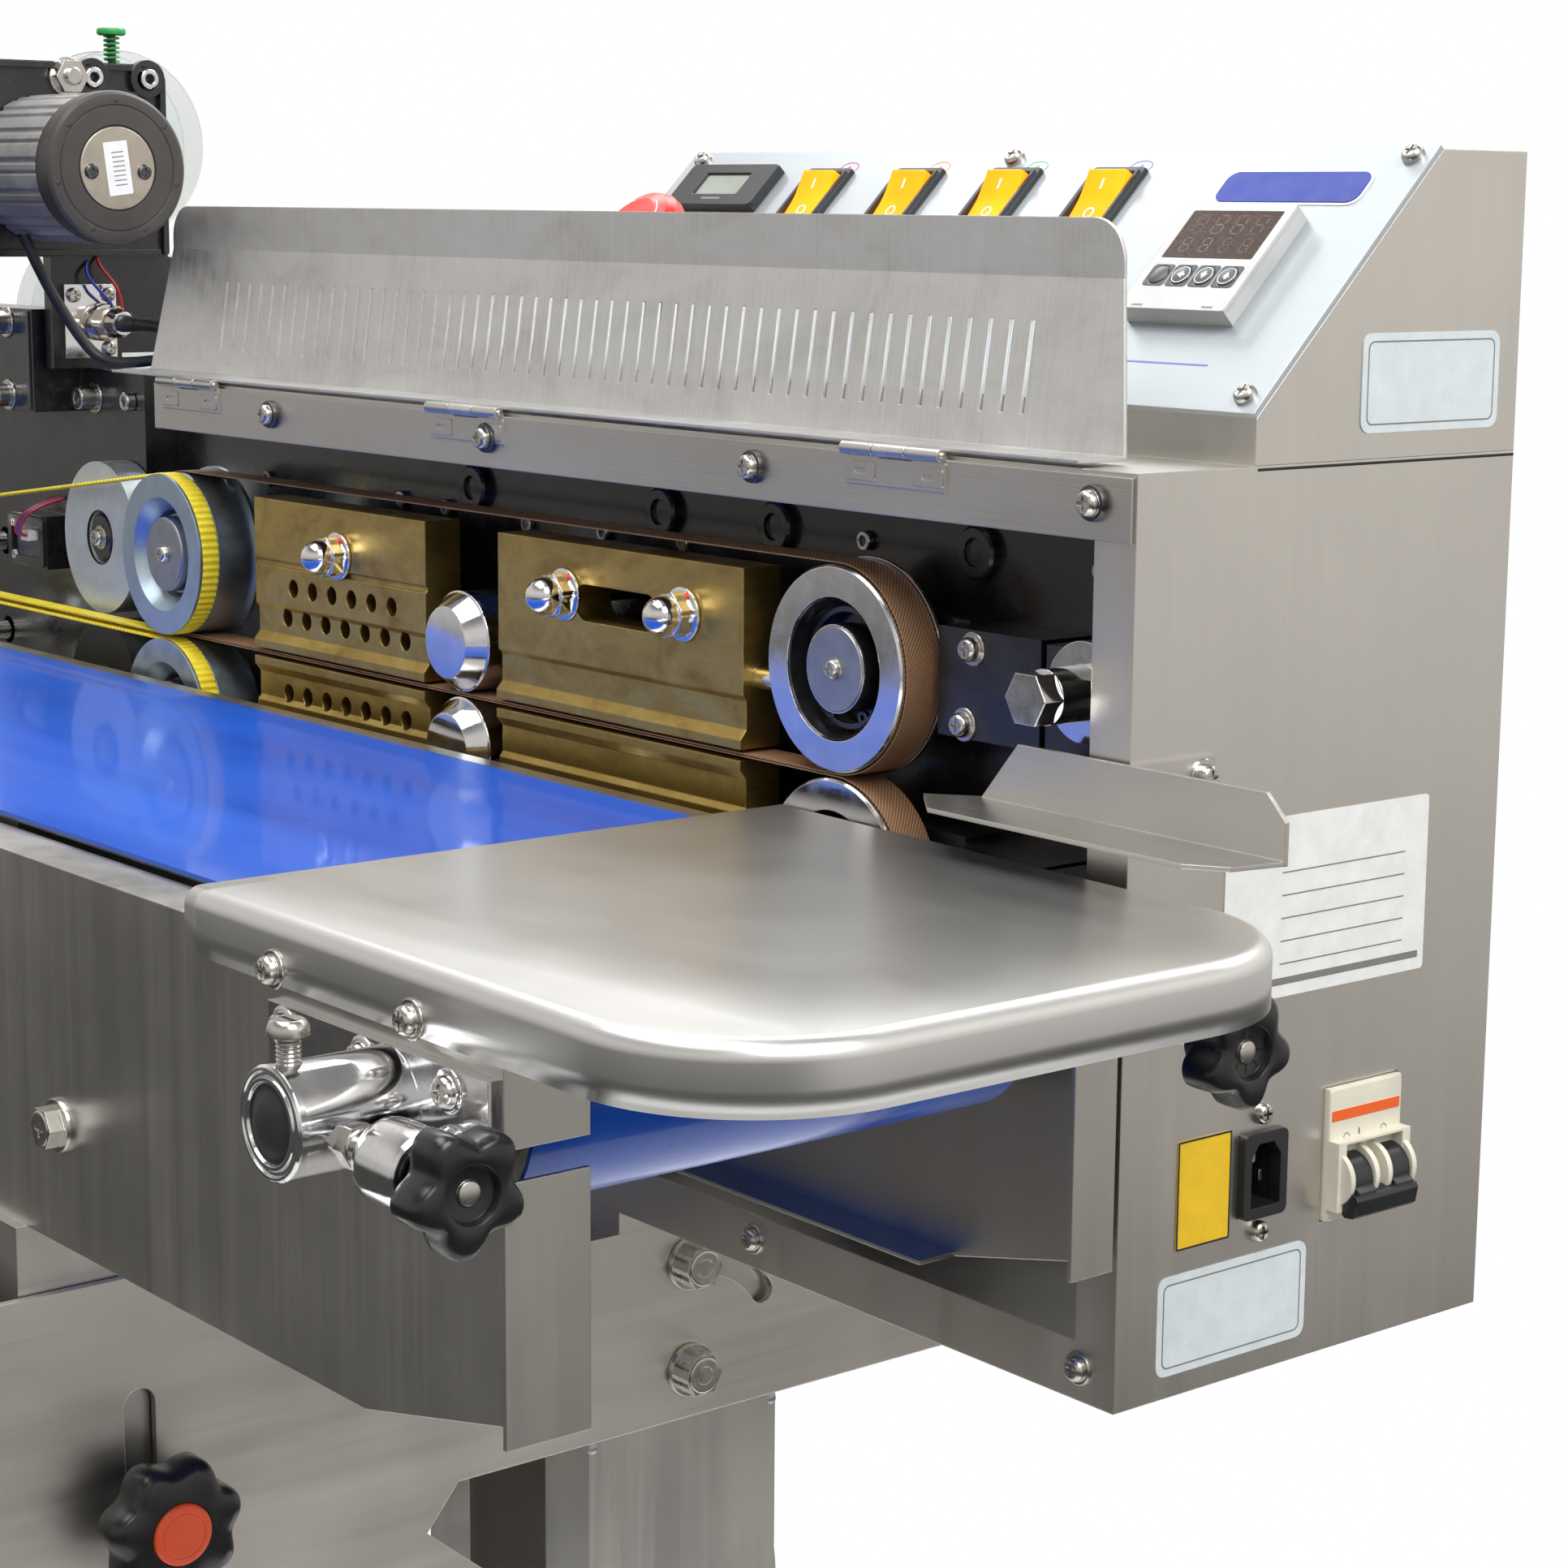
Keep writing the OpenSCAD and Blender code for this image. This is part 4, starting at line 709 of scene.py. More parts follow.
    def tube(self, look, points, r, sides=12):
        """Round section swept along a route without twisting."""
        rows, side = [], None
        for i, p in enumerate(points):
            along = (points[min(i + 1, len(points) - 1)] - points[max(i - 1, 0)]).normalized()
            start = side or (Vector(TOP) if abs(along.z) < 0.9 else Vector(SIDE))
            side = (start - along * start.dot(along)).normalized()
            other = along.cross(side)
            rows.append([p + r * (side * x + other * y) for x, y in circle(1, sides)])
        self.grid(look, ORIGIN, rows, closed=True, caps=True)

    def done(self, name, body, bevel=0.0, sharp=32, replaces=(), thick=0.0, slot=None):
        """Makes the object and lets it ride on a CAD body."""
        bmesh.ops.remove_doubles(self.mesh, verts=self.mesh.verts, dist=0.002)
        bmesh.ops.recalc_face_normals(self.mesh, faces=self.mesh.faces)
        bmesh.ops.transform(self.mesh, matrix=Matrix.Translation(CORNER) @ Matrix.Scale(MM, 4),
                            verts=self.mesh.verts)
        mesh = bpy.data.meshes.new(name)
        self.mesh.to_mesh(mesh)
        self.mesh.free()
        mesh.set_sharp_from_angle(angle=math.radians(sharp))
        for look in self.looks:
            mesh.materials.append(M[look])
        made = link(name, mesh)
        if thick:
            skin = made.modifiers.new("thickness", "SOLIDIFY")
            skin.thickness = thick * MM
            skin.offset = -1
        if bevel:
            edge = made.modifiers.new("edges", "BEVEL")
            edge.width = bevel * MM
            edge.segments = 2
            edge.limit_method = "ANGLE"
            edge.angle_limit = math.radians(40)
            edge.harden_normals = True
        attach(made, body)
        if replaces:
            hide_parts(*replaces)
        return made


# conveyor ---------------------------------------------------------------------

TRAY_TOP, TRAY_R, TRAY_ROLL, TRAY_DROP = 175.5, 56, 5.6, 20.0
TRAY_X, TRAY_Y = (-160.0, 101.0), (-239.5, -9.0)
TRAY_CUT, TRAY_LIFT = 13, 10     # the rim's rounded corner at the belt's side: length and rise


def make_tray():
    """Sheet tray with a rolled rim along the front and round the free end."""
    (x0, x1), (y0, y1) = TRAY_X, TRAY_Y
    straight = x1 - TRAY_R
    path = [((x0 + (straight - x0) * k / 24, y0), (0, -1)) for k in range(25)]
    for cy, first in ((y0 + TRAY_R, -90), (y1 - TRAY_R, 0)):
        for k in range(25):
            a = math.radians(first + 90 * k / 24)
            out = (math.cos(a), math.sin(a))
            path.append(((straight + TRAY_R * out[0], cy + TRAY_R * out[1]), out))
    rows = []
    for (x, y), (nx, ny) in path:
        cut = max(0.0, 1 - (x - x0) / TRAY_CUT)
        drop = TRAY_DROP - TRAY_LIFT * (1 - math.sqrt(1 - cut * cut))
        row = [(x, y, TRAY_TOP - drop), (x, y, TRAY_TOP - (drop + TRAY_ROLL) / 2)]
        for k in range(9):
            a = math.pi / 2 * k / 8
            inset = TRAY_ROLL * (1 - math.cos(a))
            row.append((x - nx * inset, y - ny * inset, TRAY_TOP - TRAY_ROLL * (1 - math.sin(a))))
        rows.append(row)
    tray = Piece()
    tray.grid("tray", ORIGIN, rows)
    rim = [row[-1] for row in rows]
    tray.add("tray", ORIGIN, rim + [(x0, y1, TRAY_TOP)], [list(range(len(rim) + 1))])
    for front, back in ((-234, -222), (-22, -10)):
        tray.box("sheet_x", (-150, front, 166), (-8, back, TRAY_TOP - 1.6))
    tray.done("infeed_tray_sheet", "conveyor", thick=1.5, sharp=50, replaces=["infeed_tray"],
              slot="stainless")


def thread(r, depth, start, length, pitch):
    """Profile of a screw thread as fine rings."""
    count = int(length / pitch)
    points = [(0, start)]
    for k in range(count):
        points += [(r - depth, start + k * pitch), (r, start + (k + 0.5) * pitch)]
    return points + [(r - depth, start + count * pitch), (0, start + count * pitch)]


def knob_skin(knob, frame, outline, sides, hub, face):
    """Lobed skin from (scale, height) steps, its hub ring below and (radius, height) rings on its face."""
    knob.loft("knob", frame, outline, sides, caps=False)
    knob.grid("knob", frame, [scaled(outline, *sides[0]), rounded_off(outline, *hub)], closed=True)
    rings = [rounded_off(outline, r, h) for r, h in face]
    knob.grid("knob", frame, [scaled(outline, *sides[-1]), *rings], closed=True)


STAR_SIDES = [(0.80, 0), (0.92, 0.6), (0.985, 2.0), (1.0, 4.5), (1.0, 10), (0.975, 12.3), (0.92, 13.5),
              (0.84, 14.1)]
CLAMP_SIDES = [(0.84, 0), (0.95, 1.0), (1.0, 3.5), (1.0, 11), (0.985, 13.2), (0.95, 15.0), (0.88, 16.2),
               (0.78, 16.8)]
ROD_FROM = -38                   # the end inside the take-up bearing of both star knobs' rods
TAKEUP_X, FRONT_ROD = -46, (-260, 129)             # the cylinder's x, and the front rod's y and z


def make_star_knob(side, x, y, z, start):
    """Five-lobed knob on its threaded rod, along X."""
    knob, frame = Piece(), at(x, y, z, SIDE)
    outline = lobed(18.2, 5, 0.27, start=math.radians(start))
    knob_skin(knob, frame, outline, STAR_SIDES, (8.4, -0.4),
              ((9.2, 14.3), (8.2, 14.0), (7.6, 12.6), (7.4, 11.6), (3.6, 11.2)))
    knob.lathe("screw", frame, [(3.6, 11.2), (3.3, 12.0), (2.8, 12.2), (0, 12.2)])
    knob.lathe("knob", frame, [(8.4, -0.4), (8.2, -4.5), (7.6, -6.6), (7.0, -7), (0, -7)])
    knob.lathe("chrome", frame, thread(3.0, 0.35, ROD_FROM - x, x - 7 - ROD_FROM, 1.0), 20)
    knob.done(f"{side}_knob_moulding", f"{side}_star_knob", replaces=[f"{side}_star_knob"],
              slot="black_plastic")


def make_star_knobs():
    make_star_knob("front", 14, *FRONT_ROD, 46)
    make_star_knob("back", 58, -18.5, 137, 60)


def make_clamp_knob():
    """Seven-lobed height clamp with its orange-red cap."""
    knob, frame = Piece(), at(-266.5, -198, -72, SIDE)
    outline = lobed(25.5, 7, 0.15, sides=140, start=math.radians(14))
    knob_skin(knob, frame, outline, CLAMP_SIDES, (12, -0.5), ((11.4, 17.0), (11.2, 15.6)))
    knob.lathe("cap_red", frame, [(11.2, 15.6), (10.9, 17.6), (10.2, 18.2), (8.3, 18.4), (8.0, 18.15),
                                  (7.7, 18.4), (0, 18.5)], 48)
    knob.lathe("knob", frame, [(12, -0.5), (11.6, -9), (11, -10.6), (0, -10.6)])
    knob.lathe("chrome", frame, thread(4.0, 0.4, -17.8, 7.2, 1.25), 20)
    knob.done("clamp_knob_moulding", "clamp_knob", replaces=["clamp_knob"], slot="black_plastic")


def make_takeup():
    """What is fastened to the front take-up plate: cylinder cap, thumb screw, nut, lug and screws."""
    piece = Piece()
    cap = at(TAKEUP_X, -276.2, 134)
    piece.lathe("chrome", cap, [(16.2, -2), (16.3, 0), (15.6, 0.9), (14.6, 1.0), (14.2, 0.4), (13.2, 0.5),
                                (12.9, 1.1), (11.6, 1.2), (11.2, 0.3)], 48)
    piece.lathe("rubber", cap, [(11.2, 0.3), (10.4, 0.2), (9.4, 0.5), (7, 1.7), (4, 2.4), (0, 2.6)], 40)
    thumb = at(TAKEUP_X, -270.5, 149.4, TOP, BACK)
    piece.lathe("screw", thumb, thread(3.6, 0.5, 0, 9, 1.2), 24)
    piece.screw(moved(thumb, 0, 0, 8.6), 6.0, 4.4, "slot")
    nut = at(-31, *FRONT_ROD, SIDE)
    piece.slab("screw", nut, hexagon(11.5), 0, 5)
    piece.lathe("screw", nut, [(3, -0.1), (5.4, 5.0), (5.0, 5.5), (3, 5.5)], 32)
    lug = at(-14.2, *FRONT_ROD, SIDE)
    piece.lathe("chrome", lug, [(3, 0), (10.2, 0), (11.2, 0.5), (11.8, 1.6), (12.0, 5), (12.0, 17),
                                (11.7, 19.6), (10.6, 20.6), (9.4, 20.8), (8.8, 18), (3, 17)], 48)
    for k in range(9):
        a = math.radians(180 + k * 9)
        y, z = FRONT_ROD[0] - 9 * math.cos(a) + 9, FRONT_ROD[1] + 1.2 * math.sin(a)
        piece.lathe("chrome", at(-12 + 0.1 * k, y, z, SIDE),
                    [(0, 0), (6.5, 0), (7, 0.8), (7, 9), (6.5, 10), (0, 10)], 24)
    for x, z in ((-103, 143.5), (-60, 143.5), (-16, 143.5), (-60, 115.5)):
        piece.lathe("chrome", at(x, -239, z), [(6.4, -0.4), (6.4, 0.25), (5.9, 0.5), (4.2, 0.5)], 32)
        piece.screw(at(x, -239, z), 4.6, 3.7)
    piece.done("takeup_fittings", "conveyor", bevel=0.15, slot="chrome")


def make_conveyor_screws():
    """Screws and bolts of the front panel, and the folded lips at the panels' ends."""
    piece = Piece()
    for x in (-107, -33):
        piece.screw(at(x, -239.5, 160), 4.4, 3.6, washer=0.9)
    for x in (-700, -485, -255):
        piece.bolt(at(x, -236, 79), 12.6, 5.4, 9.2, 1.8)
    piece.done("conveyor_screws", "conveyor", bevel=0.25, slot="zinc")
    lips = Piece()
    for front, back in ((-236, -216), (-28, -8)):
        for left, right in ((-845.6, -843.8), (4.8, 6.6)):
            lips.box("sheet_x", (left, front, 163.8), (right, back, 166.1))
    lips.done("conveyor_end_lips", "conveyor", bevel=0.4, slot="stainless")


# cabinet ----------------------------------------------------------------------

def make_cabinet_screws():
    """Screws of the cabinet, its rail, back cover and the sloping panel."""
    piece = Piece()
    for x in (-515.7, -351.1, -185.7, -16.8):
        piece.screw(at(x, -1.5, 290), 4.3, 3.2, washer=2.2, ring="dark_steel")
        piece.lathe("dark_steel", at(x, -1.5, 290), [(4.6, 0.8), (5.6, 1.1), (5.6, 1.9), (4.4, 2.2)])
    for x in (-185.2, -16.2, -604):
        piece.screw(at(x, 0, 11), 4.2, 2.8, washer=0.9)
    for z in (48.7, 88.7):
        piece.screw(at(0, 64.5, z, SIDE), 3.7, 3.2)
    piece.screw(at(1.5, 31, 204, SIDE), 4.2, 3.4, washer=0.8)
    for x, s in ((-387, 7), (-387, 113.5), (-198, 113.5), (-8, 7), (-8, 113.5)):
        piece.screw(on_panel(x, s), 3.9, 3.1)
    for x in (-611, -9):
        for z in (9, 150, 291):
            piece.screw(at(x, 179.2, z, BACK), 4.4, 3.3, washer=0.8)
    piece.done("cabinet_screws", "head", bevel=0.12, slot="zinc")


def make_hinge_leaves():
    """Pressed slots and rounded leaf edges of the three cover hinges."""
    piece = Piece()
    for x in (-585, -365, -110):
        for side in (-1, 1):
            leaf = at(x + side * 17, -2.6, 292.5)
            piece.slab("sheet_x", leaf, rounded(14.5, 6.5, 1.2), -0.2, 0.35,
                       holes=[rounded(6, 1.4, 0.6, 0, 0, 2)])
            piece.lathe("zinc", at(x + side * 25.1, -3.8, 300, (side, 0, 0)),
                        [(0, 0.6), (0.8, 0.5), (1.1, 0), (1.1, -1)], 16)
    piece.done("hinge_leaves", "head", slot="stainless")


STICKER, PRINT = (0, 0.35), (0.3, 0.42)            # heights of a sticker and of the ink on it


def make_labels():
    """Blank plates and stickers on the cabinet's side, and thin dark strips of painted shadow in the gaps
    under the control box.
    """
    piece = Piece()

    def side(y, z):
        return at(0.05, y, z, SIDE)

    piece.slab("label_white", side(92.8, 156.5), rounded(98, 60, 1.5), *STICKER)
    for k in range(5):
        piece.slab("ink_grey", side(100.5, 168 - 7.6 * k), rounded(60, 0.45, 0.1, steps=1), *PRINT)
    piece.slab("ink_grey", side(92.8, 131.8), rounded(92, 2.4, 0.4, steps=2), *PRINT)
    for y, z, w, h in ((133.9, 324.5, 68, 32), (53.5, 24.3, 70, 33.5)):
        piece.slab("label_pale", side(y, z), rounded(w, h, 4), *STICKER)
        piece.slab("ink_grey", side(y, z), rounded(w - 5, h - 5, 2.6), *PRINT,
                   holes=[rounded(w - 6, h - 6, 2.2)])
    outline = rounded(24.6, 36.4, 0.5, steps=2)
    piece.slab("label_yellow", side(38.4, 67.2), outline, *STICKER)
    piece.slab("ink_dark", side(38.4, 67.2), outline, *PRINT,
               holes=[rounded(23.2, 35, 0.3, steps=2)])
    # painted shadow: these two dark strips stand for the shade in the gaps along the control box's lower
    # edge, at its side and its front
    piece.box("inside", (-0.5, 53, 298.4), (0.15, 178, 299.3))
    piece.box("inside", (-388, 52.4, 298.6), (-1, 53.6, 299.4))
    piece.done("blank_labels", "head", slot="panel")


def make_inlet():
    """Appliance inlet: shrouded three-pin socket with chamfered lower corners."""
    piece = Piece()
    frame = at(0, 64.5, 68.5, SIDE)
    mouth = [(6.8, -10.8), (6.8, 6.5), (3.5, 10.8), (-3.5, 10.8), (-6.8, 6.5), (-6.8, -10.8)]
    piece.slab("black_plastic", frame, rounded(20.6, 29.2, 2.6), -2, 3.2, holes=[mouth])
    for x, z in ((0, 4.6), (-3.6, -2.2), (3.6, -2.2)):
        piece.slab("screw", frame, rounded(1.9, 3.9, 0.5, x, z, 2), -16, -2.5)
    piece.done("inlet_shroud", "head", bevel=0.45, slot="black_plastic")


def make_breaker():
    """Front of the two-pole breaker: orange stripe, cheeks beside the toggles, plain marks."""
    piece = Piece()
    face = at(2.1, 113.5, 68.5, SIDE)
    piece.slab("cream", face, rounded(35.6, 45.2, 1.6), -2, 0.3)
    piece.slab("orange", face, rounded(33.6, 3.6, 0.2, 0, 13.6, 1), 0.2, 0.5)
    arc = [(-9.6 * math.cos(a), 9.8 * math.sin(a) + 1) for a in map(math.radians, range(-90, 91, 9))]
    for x in (-15.4, -3.2, 3.2, 15.4):
        cheek = at(2.1, 113.5 + x, 60, BACK)
        piece.slab("cream", cheek, arc, -1.1, 1.1)
    for x in (-9.3, 9.3):
        piece.slab("ink_grey", face, circle(1.5, 20, x, 5.6), 0.25, 0.4, holes=[circle(1.2, 20, x, 5.6)])
    piece.slab("ink_dark", face, rounded(0.5, 8, 0.2, -3, 3.8, 1), 0.25, 0.4)
    piece.done("breaker_face", "head", bevel=0.3, slot="cream")
    toggles = Piece()
    lever = [(-13, 52), (-13, 57.5), (-6, 63), (-3, 56)]
    for y in (104.2, 122.8):
        drum = at(2.1, y - 4.8, 60, BACK)
        toggles.lathe("black_plastic", drum, [(0, 0), (8.6, 0), (9.0, 0.4), (9.0, 9.2), (8.6, 9.6),
                                              (0, 9.6)], 40)
        toggles.slab("black_plastic", at(0, y - 4.4, 0, BACK), lever, 0, 8.8)
    bar = [(-6.6, 49.2), (-7.4, 56.5), (-8.6, 57.6), (-12.8, 56.6), (-13.8, 55.0), (-12.8, 49.6),
           (-11.6, 48.6), (-8, 48.2)]
    toggles.slab("black_plastic", at(0, 98.2, 0, BACK), bar, 0, 30.6)
    toggles.done("breaker_toggle_bar", "breaker_toggle", bevel=0.5, replaces=["breaker_toggle"],
                 slot="black_plastic")


# control panel ----------------------------------------------------------------

ROCKERS = (-297.5, -244.0, -190.5, -137.0)
ROCKER_S = 91.5                  # how far up the slope the rockers sit
ICON_LOOKS = ("ink_magenta", "ink_orange", "ink_green", "ink_blue")
KEYS = [-15.6 + 10.4 * k for k in range(4)]        # across the temperature controller
KEY_R = 4.25


def make_panel_marks():
    """Badge without a name, a plain oval over each switch, and the counter's frame and window."""
    piece = Piece()
    for x, look in zip(ROCKERS, ICON_LOOKS):
        frame = on_panel(x + 7.5, 109.4)
        outer, inner = ([(w * a, h * b) for a, b in circle(1)] for w, h in ((5.4, 3.1), (4.9, 2.6)))
        piece.slab(look, frame, outer, 0, 0.12, holes=[inner])
        piece.slab(look, frame, circle(0.9, 16), 0, 0.12)
    badge = on_panel(-51, 99)
    piece.slab("label_white", badge, rounded(66, 16, 5), 0, 0.3)
    piece.slab("badge_blue", badge, rounded(64, 14, 4.2), 0.2, 0.7)
    piece.slab("ink_blue", on_panel(-52, 18.8), rounded(38, 0.7, 0.2, steps=1), 0, 0.12)
    counter = on_panel(-355.5, 96, 6)
    window = rounded(29, 11.8, 1, 0, 0.5)
    piece.slab("black_plastic", counter, rounded(55.6, 22.6, 2), -2, 0.4, holes=[window])
    piece.slab("lcd", counter, window, -0.9, -0.5)
    piece.slab("ink_grey", counter, rounded(12, 1.0, 0.2, 0, -7.8, 1), 0.38, 0.45)
    piece.done("panel_marks", "head", bevel=0.04, slot="panel")


def make_controller_face():
    """Temperature controller: dark window with unlit digits, and a lower strip round its keys."""
    piece = Piece()
    frame = on_panel(-58, 60, 9)
    window = rounded(41, 22, 0.8, 0, 10)
    keys = [circle(KEY_R, 28, x, -9) for x in KEYS]
    piece.slab("grey_plastic", frame, rounded(48.2, 48.2, 1.4), -1.4, 0.15, holes=[window, *keys])
    piece.slab("display", frame, window, -1.0, 0.05)
    for x, key in zip(KEYS, keys):
        piece.slab("dark_plastic", frame, rounded(9.8, 9.8, 1.6, x, -9), 0.1, 0.3, holes=[key])
    for y, tall in ((14.6, 8.2), (5.2, 6.2)):
        for k in range(4):
            digit(piece, frame, -13.5 + 9 * k, y, tall * 0.55, tall)
    for x in (-16, 16):
        piece.slab("ink_grey", frame, rounded(5, 0.9, 0.2, x, -22.6, 1), 0.12, 0.2)
    piece.done("controller_face", "head", bevel=0.15, slot="grey_plastic")


def digit(piece, frame, x, z, w, h):
    """Unlit seven-segment figure."""
    for dz in (-h / 2, 0, h / 2):
        piece.slab("segment", frame, rounded(w * 0.76, 0.75, 0.3, x, z + dz, 2), 0.04, 0.09)
    for dx in (-w / 2, w / 2):
        for dz in (-h / 4, h / 4):
            piece.slab("segment", frame, rounded(0.75, h * 0.38, 0.3, x + dx, z + dz, 2), 0.04, 0.09)


ARROW = [(1.6, 0), (-0.7, 1.5), (-0.7, 0.5), (-1.6, 0.5), (-1.6, -0.5), (-0.7, -0.5), (-0.7, -1.5)]


def make_keys():
    """Domed keys; all but the first have a ring and a plain arrow."""
    for k, (x, turn) in enumerate(zip(KEYS, (None, 180, -90, 90)), 1):
        frame = on_panel(-58 + x, 51, 9.6)
        key = Piece()
        key.lathe("dark_plastic", frame, [(4, -3), (4, -0.5), (3.7, -0.1), (2.6, 0.12), (0, 0.2)], 32)
        if turn is not None:
            key.slab("mark_white", frame, circle(3.6), 0.0, 0.1, holes=[circle(3.3)])
            key.slab("mark_white", turned(frame, turn), ARROW, 0.1, 0.26)
        key.done(f"key_{k}_cap", f"key_{k}", replaces=[f"key_{k}"], slot="grey_plastic")


ROCKER_REST, ROCKER_LENGTH, ROCKER_W = 13, 11.6, 9.7     # degrees of tilt; half length and half width
MARK_AT, MARK_SLOPE = 6.0, 5.5                           # the bar and ring lie on the hollowed faces


def make_rockers():
    """Amber rockers with a hollowed face, the bar and ring marks that ride on them, and their bezels."""
    w = ROCKER_W
    for k, x in enumerate(ROCKERS, 1):
        piece, bezel = Piece(), Piece()
        base = on_panel(x, ROCKER_S)
        tilt = turned(base, ROCKER_REST, "X")
        rows = []
        for i in range(-12, 13):
            y, lift = i / 12 * ROCKER_LENGTH, 2.2 + 1.4 * abs(i / 12) ** 1.4
            rows.append([(-w, y, -2), (-w, y, lift - 0.8), (0.8 - w, y, lift),
                         (w - 0.8, y, lift), (w, y, lift - 0.8), (w, y, -2)])
        piece.grid("amber", tilt, rows, closed=True, caps=True)
        keel = [(-11.4, -2.2), (-6, -7), (6, -7), (11.4, -2.2)]
        piece.slab("amber", tilt @ at(0.4 - w, 0, 0, SIDE), keel, 0, 2 * w - 0.8)
        bar, ring = (turned(moved(tilt, 0, way * MARK_AT, 2.75), way * MARK_SLOPE, "X") for way in (1, -1))
        piece.slab("mark_white", bar, rounded(0.9, 4.4, 0.4, steps=2), 0, 0.22)
        piece.slab("mark_white", ring, circle(2.4), 0, 0.22, holes=[circle(1.7)])
        piece.done(f"rocker_{k}_cap", f"rocker_{k}", replaces=[f"rocker_{k}"], slot="amber")
        hole = rounded(20.2, 25.6, 0.6)
        bezel.slab("black_plastic", base, rounded(25.9, 31.4, 1.6), -0.2, 2.1, holes=[hole])
        bezel.slab("black_plastic", base, rounded(22.8, 28.4, 1.0), 2.0, 2.9, holes=[hole])
        bezel.done(f"rocker_{k}_bezel", "head", bevel=0.35, slot="black_plastic")


def make_estop():
    """Twist-release marks on the mushroom and its collar."""
    cap = Piece()
    frame = on_panel(-342, 46)
    outer, inner = ([(r * math.cos(a), r * math.sin(a)) for a in map(math.radians, range(0, 61, 6))]
                    for r in (13.6, 12.2))
    for k in range(3):
        cap.slab("mark_white", turned(frame, 120 * k), outer + inner[::-1], 32.9, 33.55)
    cap.lathe("red", frame, [(6.4, 8), (8, 12), (8.6, 16), (14, 18.2), (16.6, 18.9)], 48)
    cap.done("estop_marks", "estop_button", slot="red")
    collar = Piece()
    collar.lathe("black_plastic", frame, [(12.6, 0), (15.6, 0), (15.6, 2.4), (14.6, 3.4), (13.0, 3.6),
                                          (12.6, 11.6), (12, 12.2), (6.4, 12.2)], 48)
    for k in range(24):
        collar.box("black_plastic", (12.3, -0.6, 3.4), (13.2, 0.6, 11), turned(frame, 15 * k))
    collar.done("estop_collar", "head", bevel=0.15, slot="black_plastic")


# sealing line -----------------------------------------------------------------

UPPER_Z, LOWER_Z, NIP_Z = 221.8, 147.2, 184.5     # wheel axes, and the height they mirror about
PULLEY_Z = {"upper": 207.3, "lower": 161.7}
DRIVE_X, IDLER_X, PULLEY_X = -616, -154, -841
BAND_R, GUIDE_R, PULLEY_R = 36.85, 35.1, 20.6


def loop_route(a, ra, b, rb, step):
    """Open belt round two wheels in the XZ plane: (point, outward direction, run) every step."""
    a, b = Vector(a), Vector(b)
    span = b - a
    turn = math.atan2(span.y, span.x)
    lean = math.acos((ra - rb) / span.length)

    def arc(centre, r, first, last):
        n = max(8, int(r * abs(last - first) / step))
        turns = [first + (last - first) * k / n for k in range(n + 1)]
        ways = [Vector((math.cos(t), math.sin(t))) for t in turns]
        return [(centre + r * way, way) for way in ways]

    def leg(start, end):
        m = int((end[0] - start[0]).length / step)
        return [(start[0].lerp(end[0], k / m), start[1]) for k in range(1, m)]

    far = arc(a, ra, turn + lean, turn + math.tau - lean)
    near = arc(b, rb, turn - lean, turn + lean)
    points = far + leg(far[-1], near[0]) + near + leg(near[-1], far[0])
    run, out = 0.0, []
    for i, (p, n) in enumerate(points):
        run += (p - points[i - 1][0]).length if i else 0.0
        out.append((p, n, run))
    return out


def make_bands():
    """Woven sealing bands: thin ribbons whose weave follows their own length."""
    piece, step = Piece(), 2.5
    section = ((10.5, -0.22), (10.5, 0.25), (25.5, 0.25), (25.5, -0.22))
    for z in (UPPER_Z, LOWER_Z):
        route = loop_route((DRIVE_X, z), BAND_R, (IDLER_X, z), BAND_R, step)
        route.append((route[0][0], route[0][1], route[-1][2] + step))
        rows, uvs = [], []
        for p, n, run in route:
            rows.append([(p.x + n.x * h, y, p.y + n.y * h) for y, h in section])
            uvs += [(run, y) for y, h in section]
        piece.grid("band", ORIGIN, rows, closed=True, uvs=uvs)
    piece.done("sealing_bands", "head", replaces=["seal_bands"], slot="band")


def make_guide_belts():
    """Yellow guide belts with ribs across their outer face."""
    piece = Piece()
    for wheel_z, pulley_z in zip((UPPER_Z, LOWER_Z), PULLEY_Z.values()):
        route = loop_route((DRIVE_X, wheel_z), GUIDE_R, (PULLEY_X, pulley_z), PULLEY_R, 0.8)
        rows = []
        for i, (p, n, run) in enumerate(route + route[:1]):
            rib = 1.45 if i % 4 in (0, 1) else 0.85
            section = ((-0.5, 0.05), (-0.5, rib - 0.15), (-0.2, rib), (7.2, rib), (7.5, rib - 0.15),
                       (7.5, 0.05))
            rows.append([(p.x + n.x * h, y, p.y + n.y * h) for y, h in section])
        piece.grid("guide", ORIGIN, rows, closed=True)
    piece.done("ribbed_guide_belts", "head", replaces=["guide_belts"], sharp=25, slot="guide")


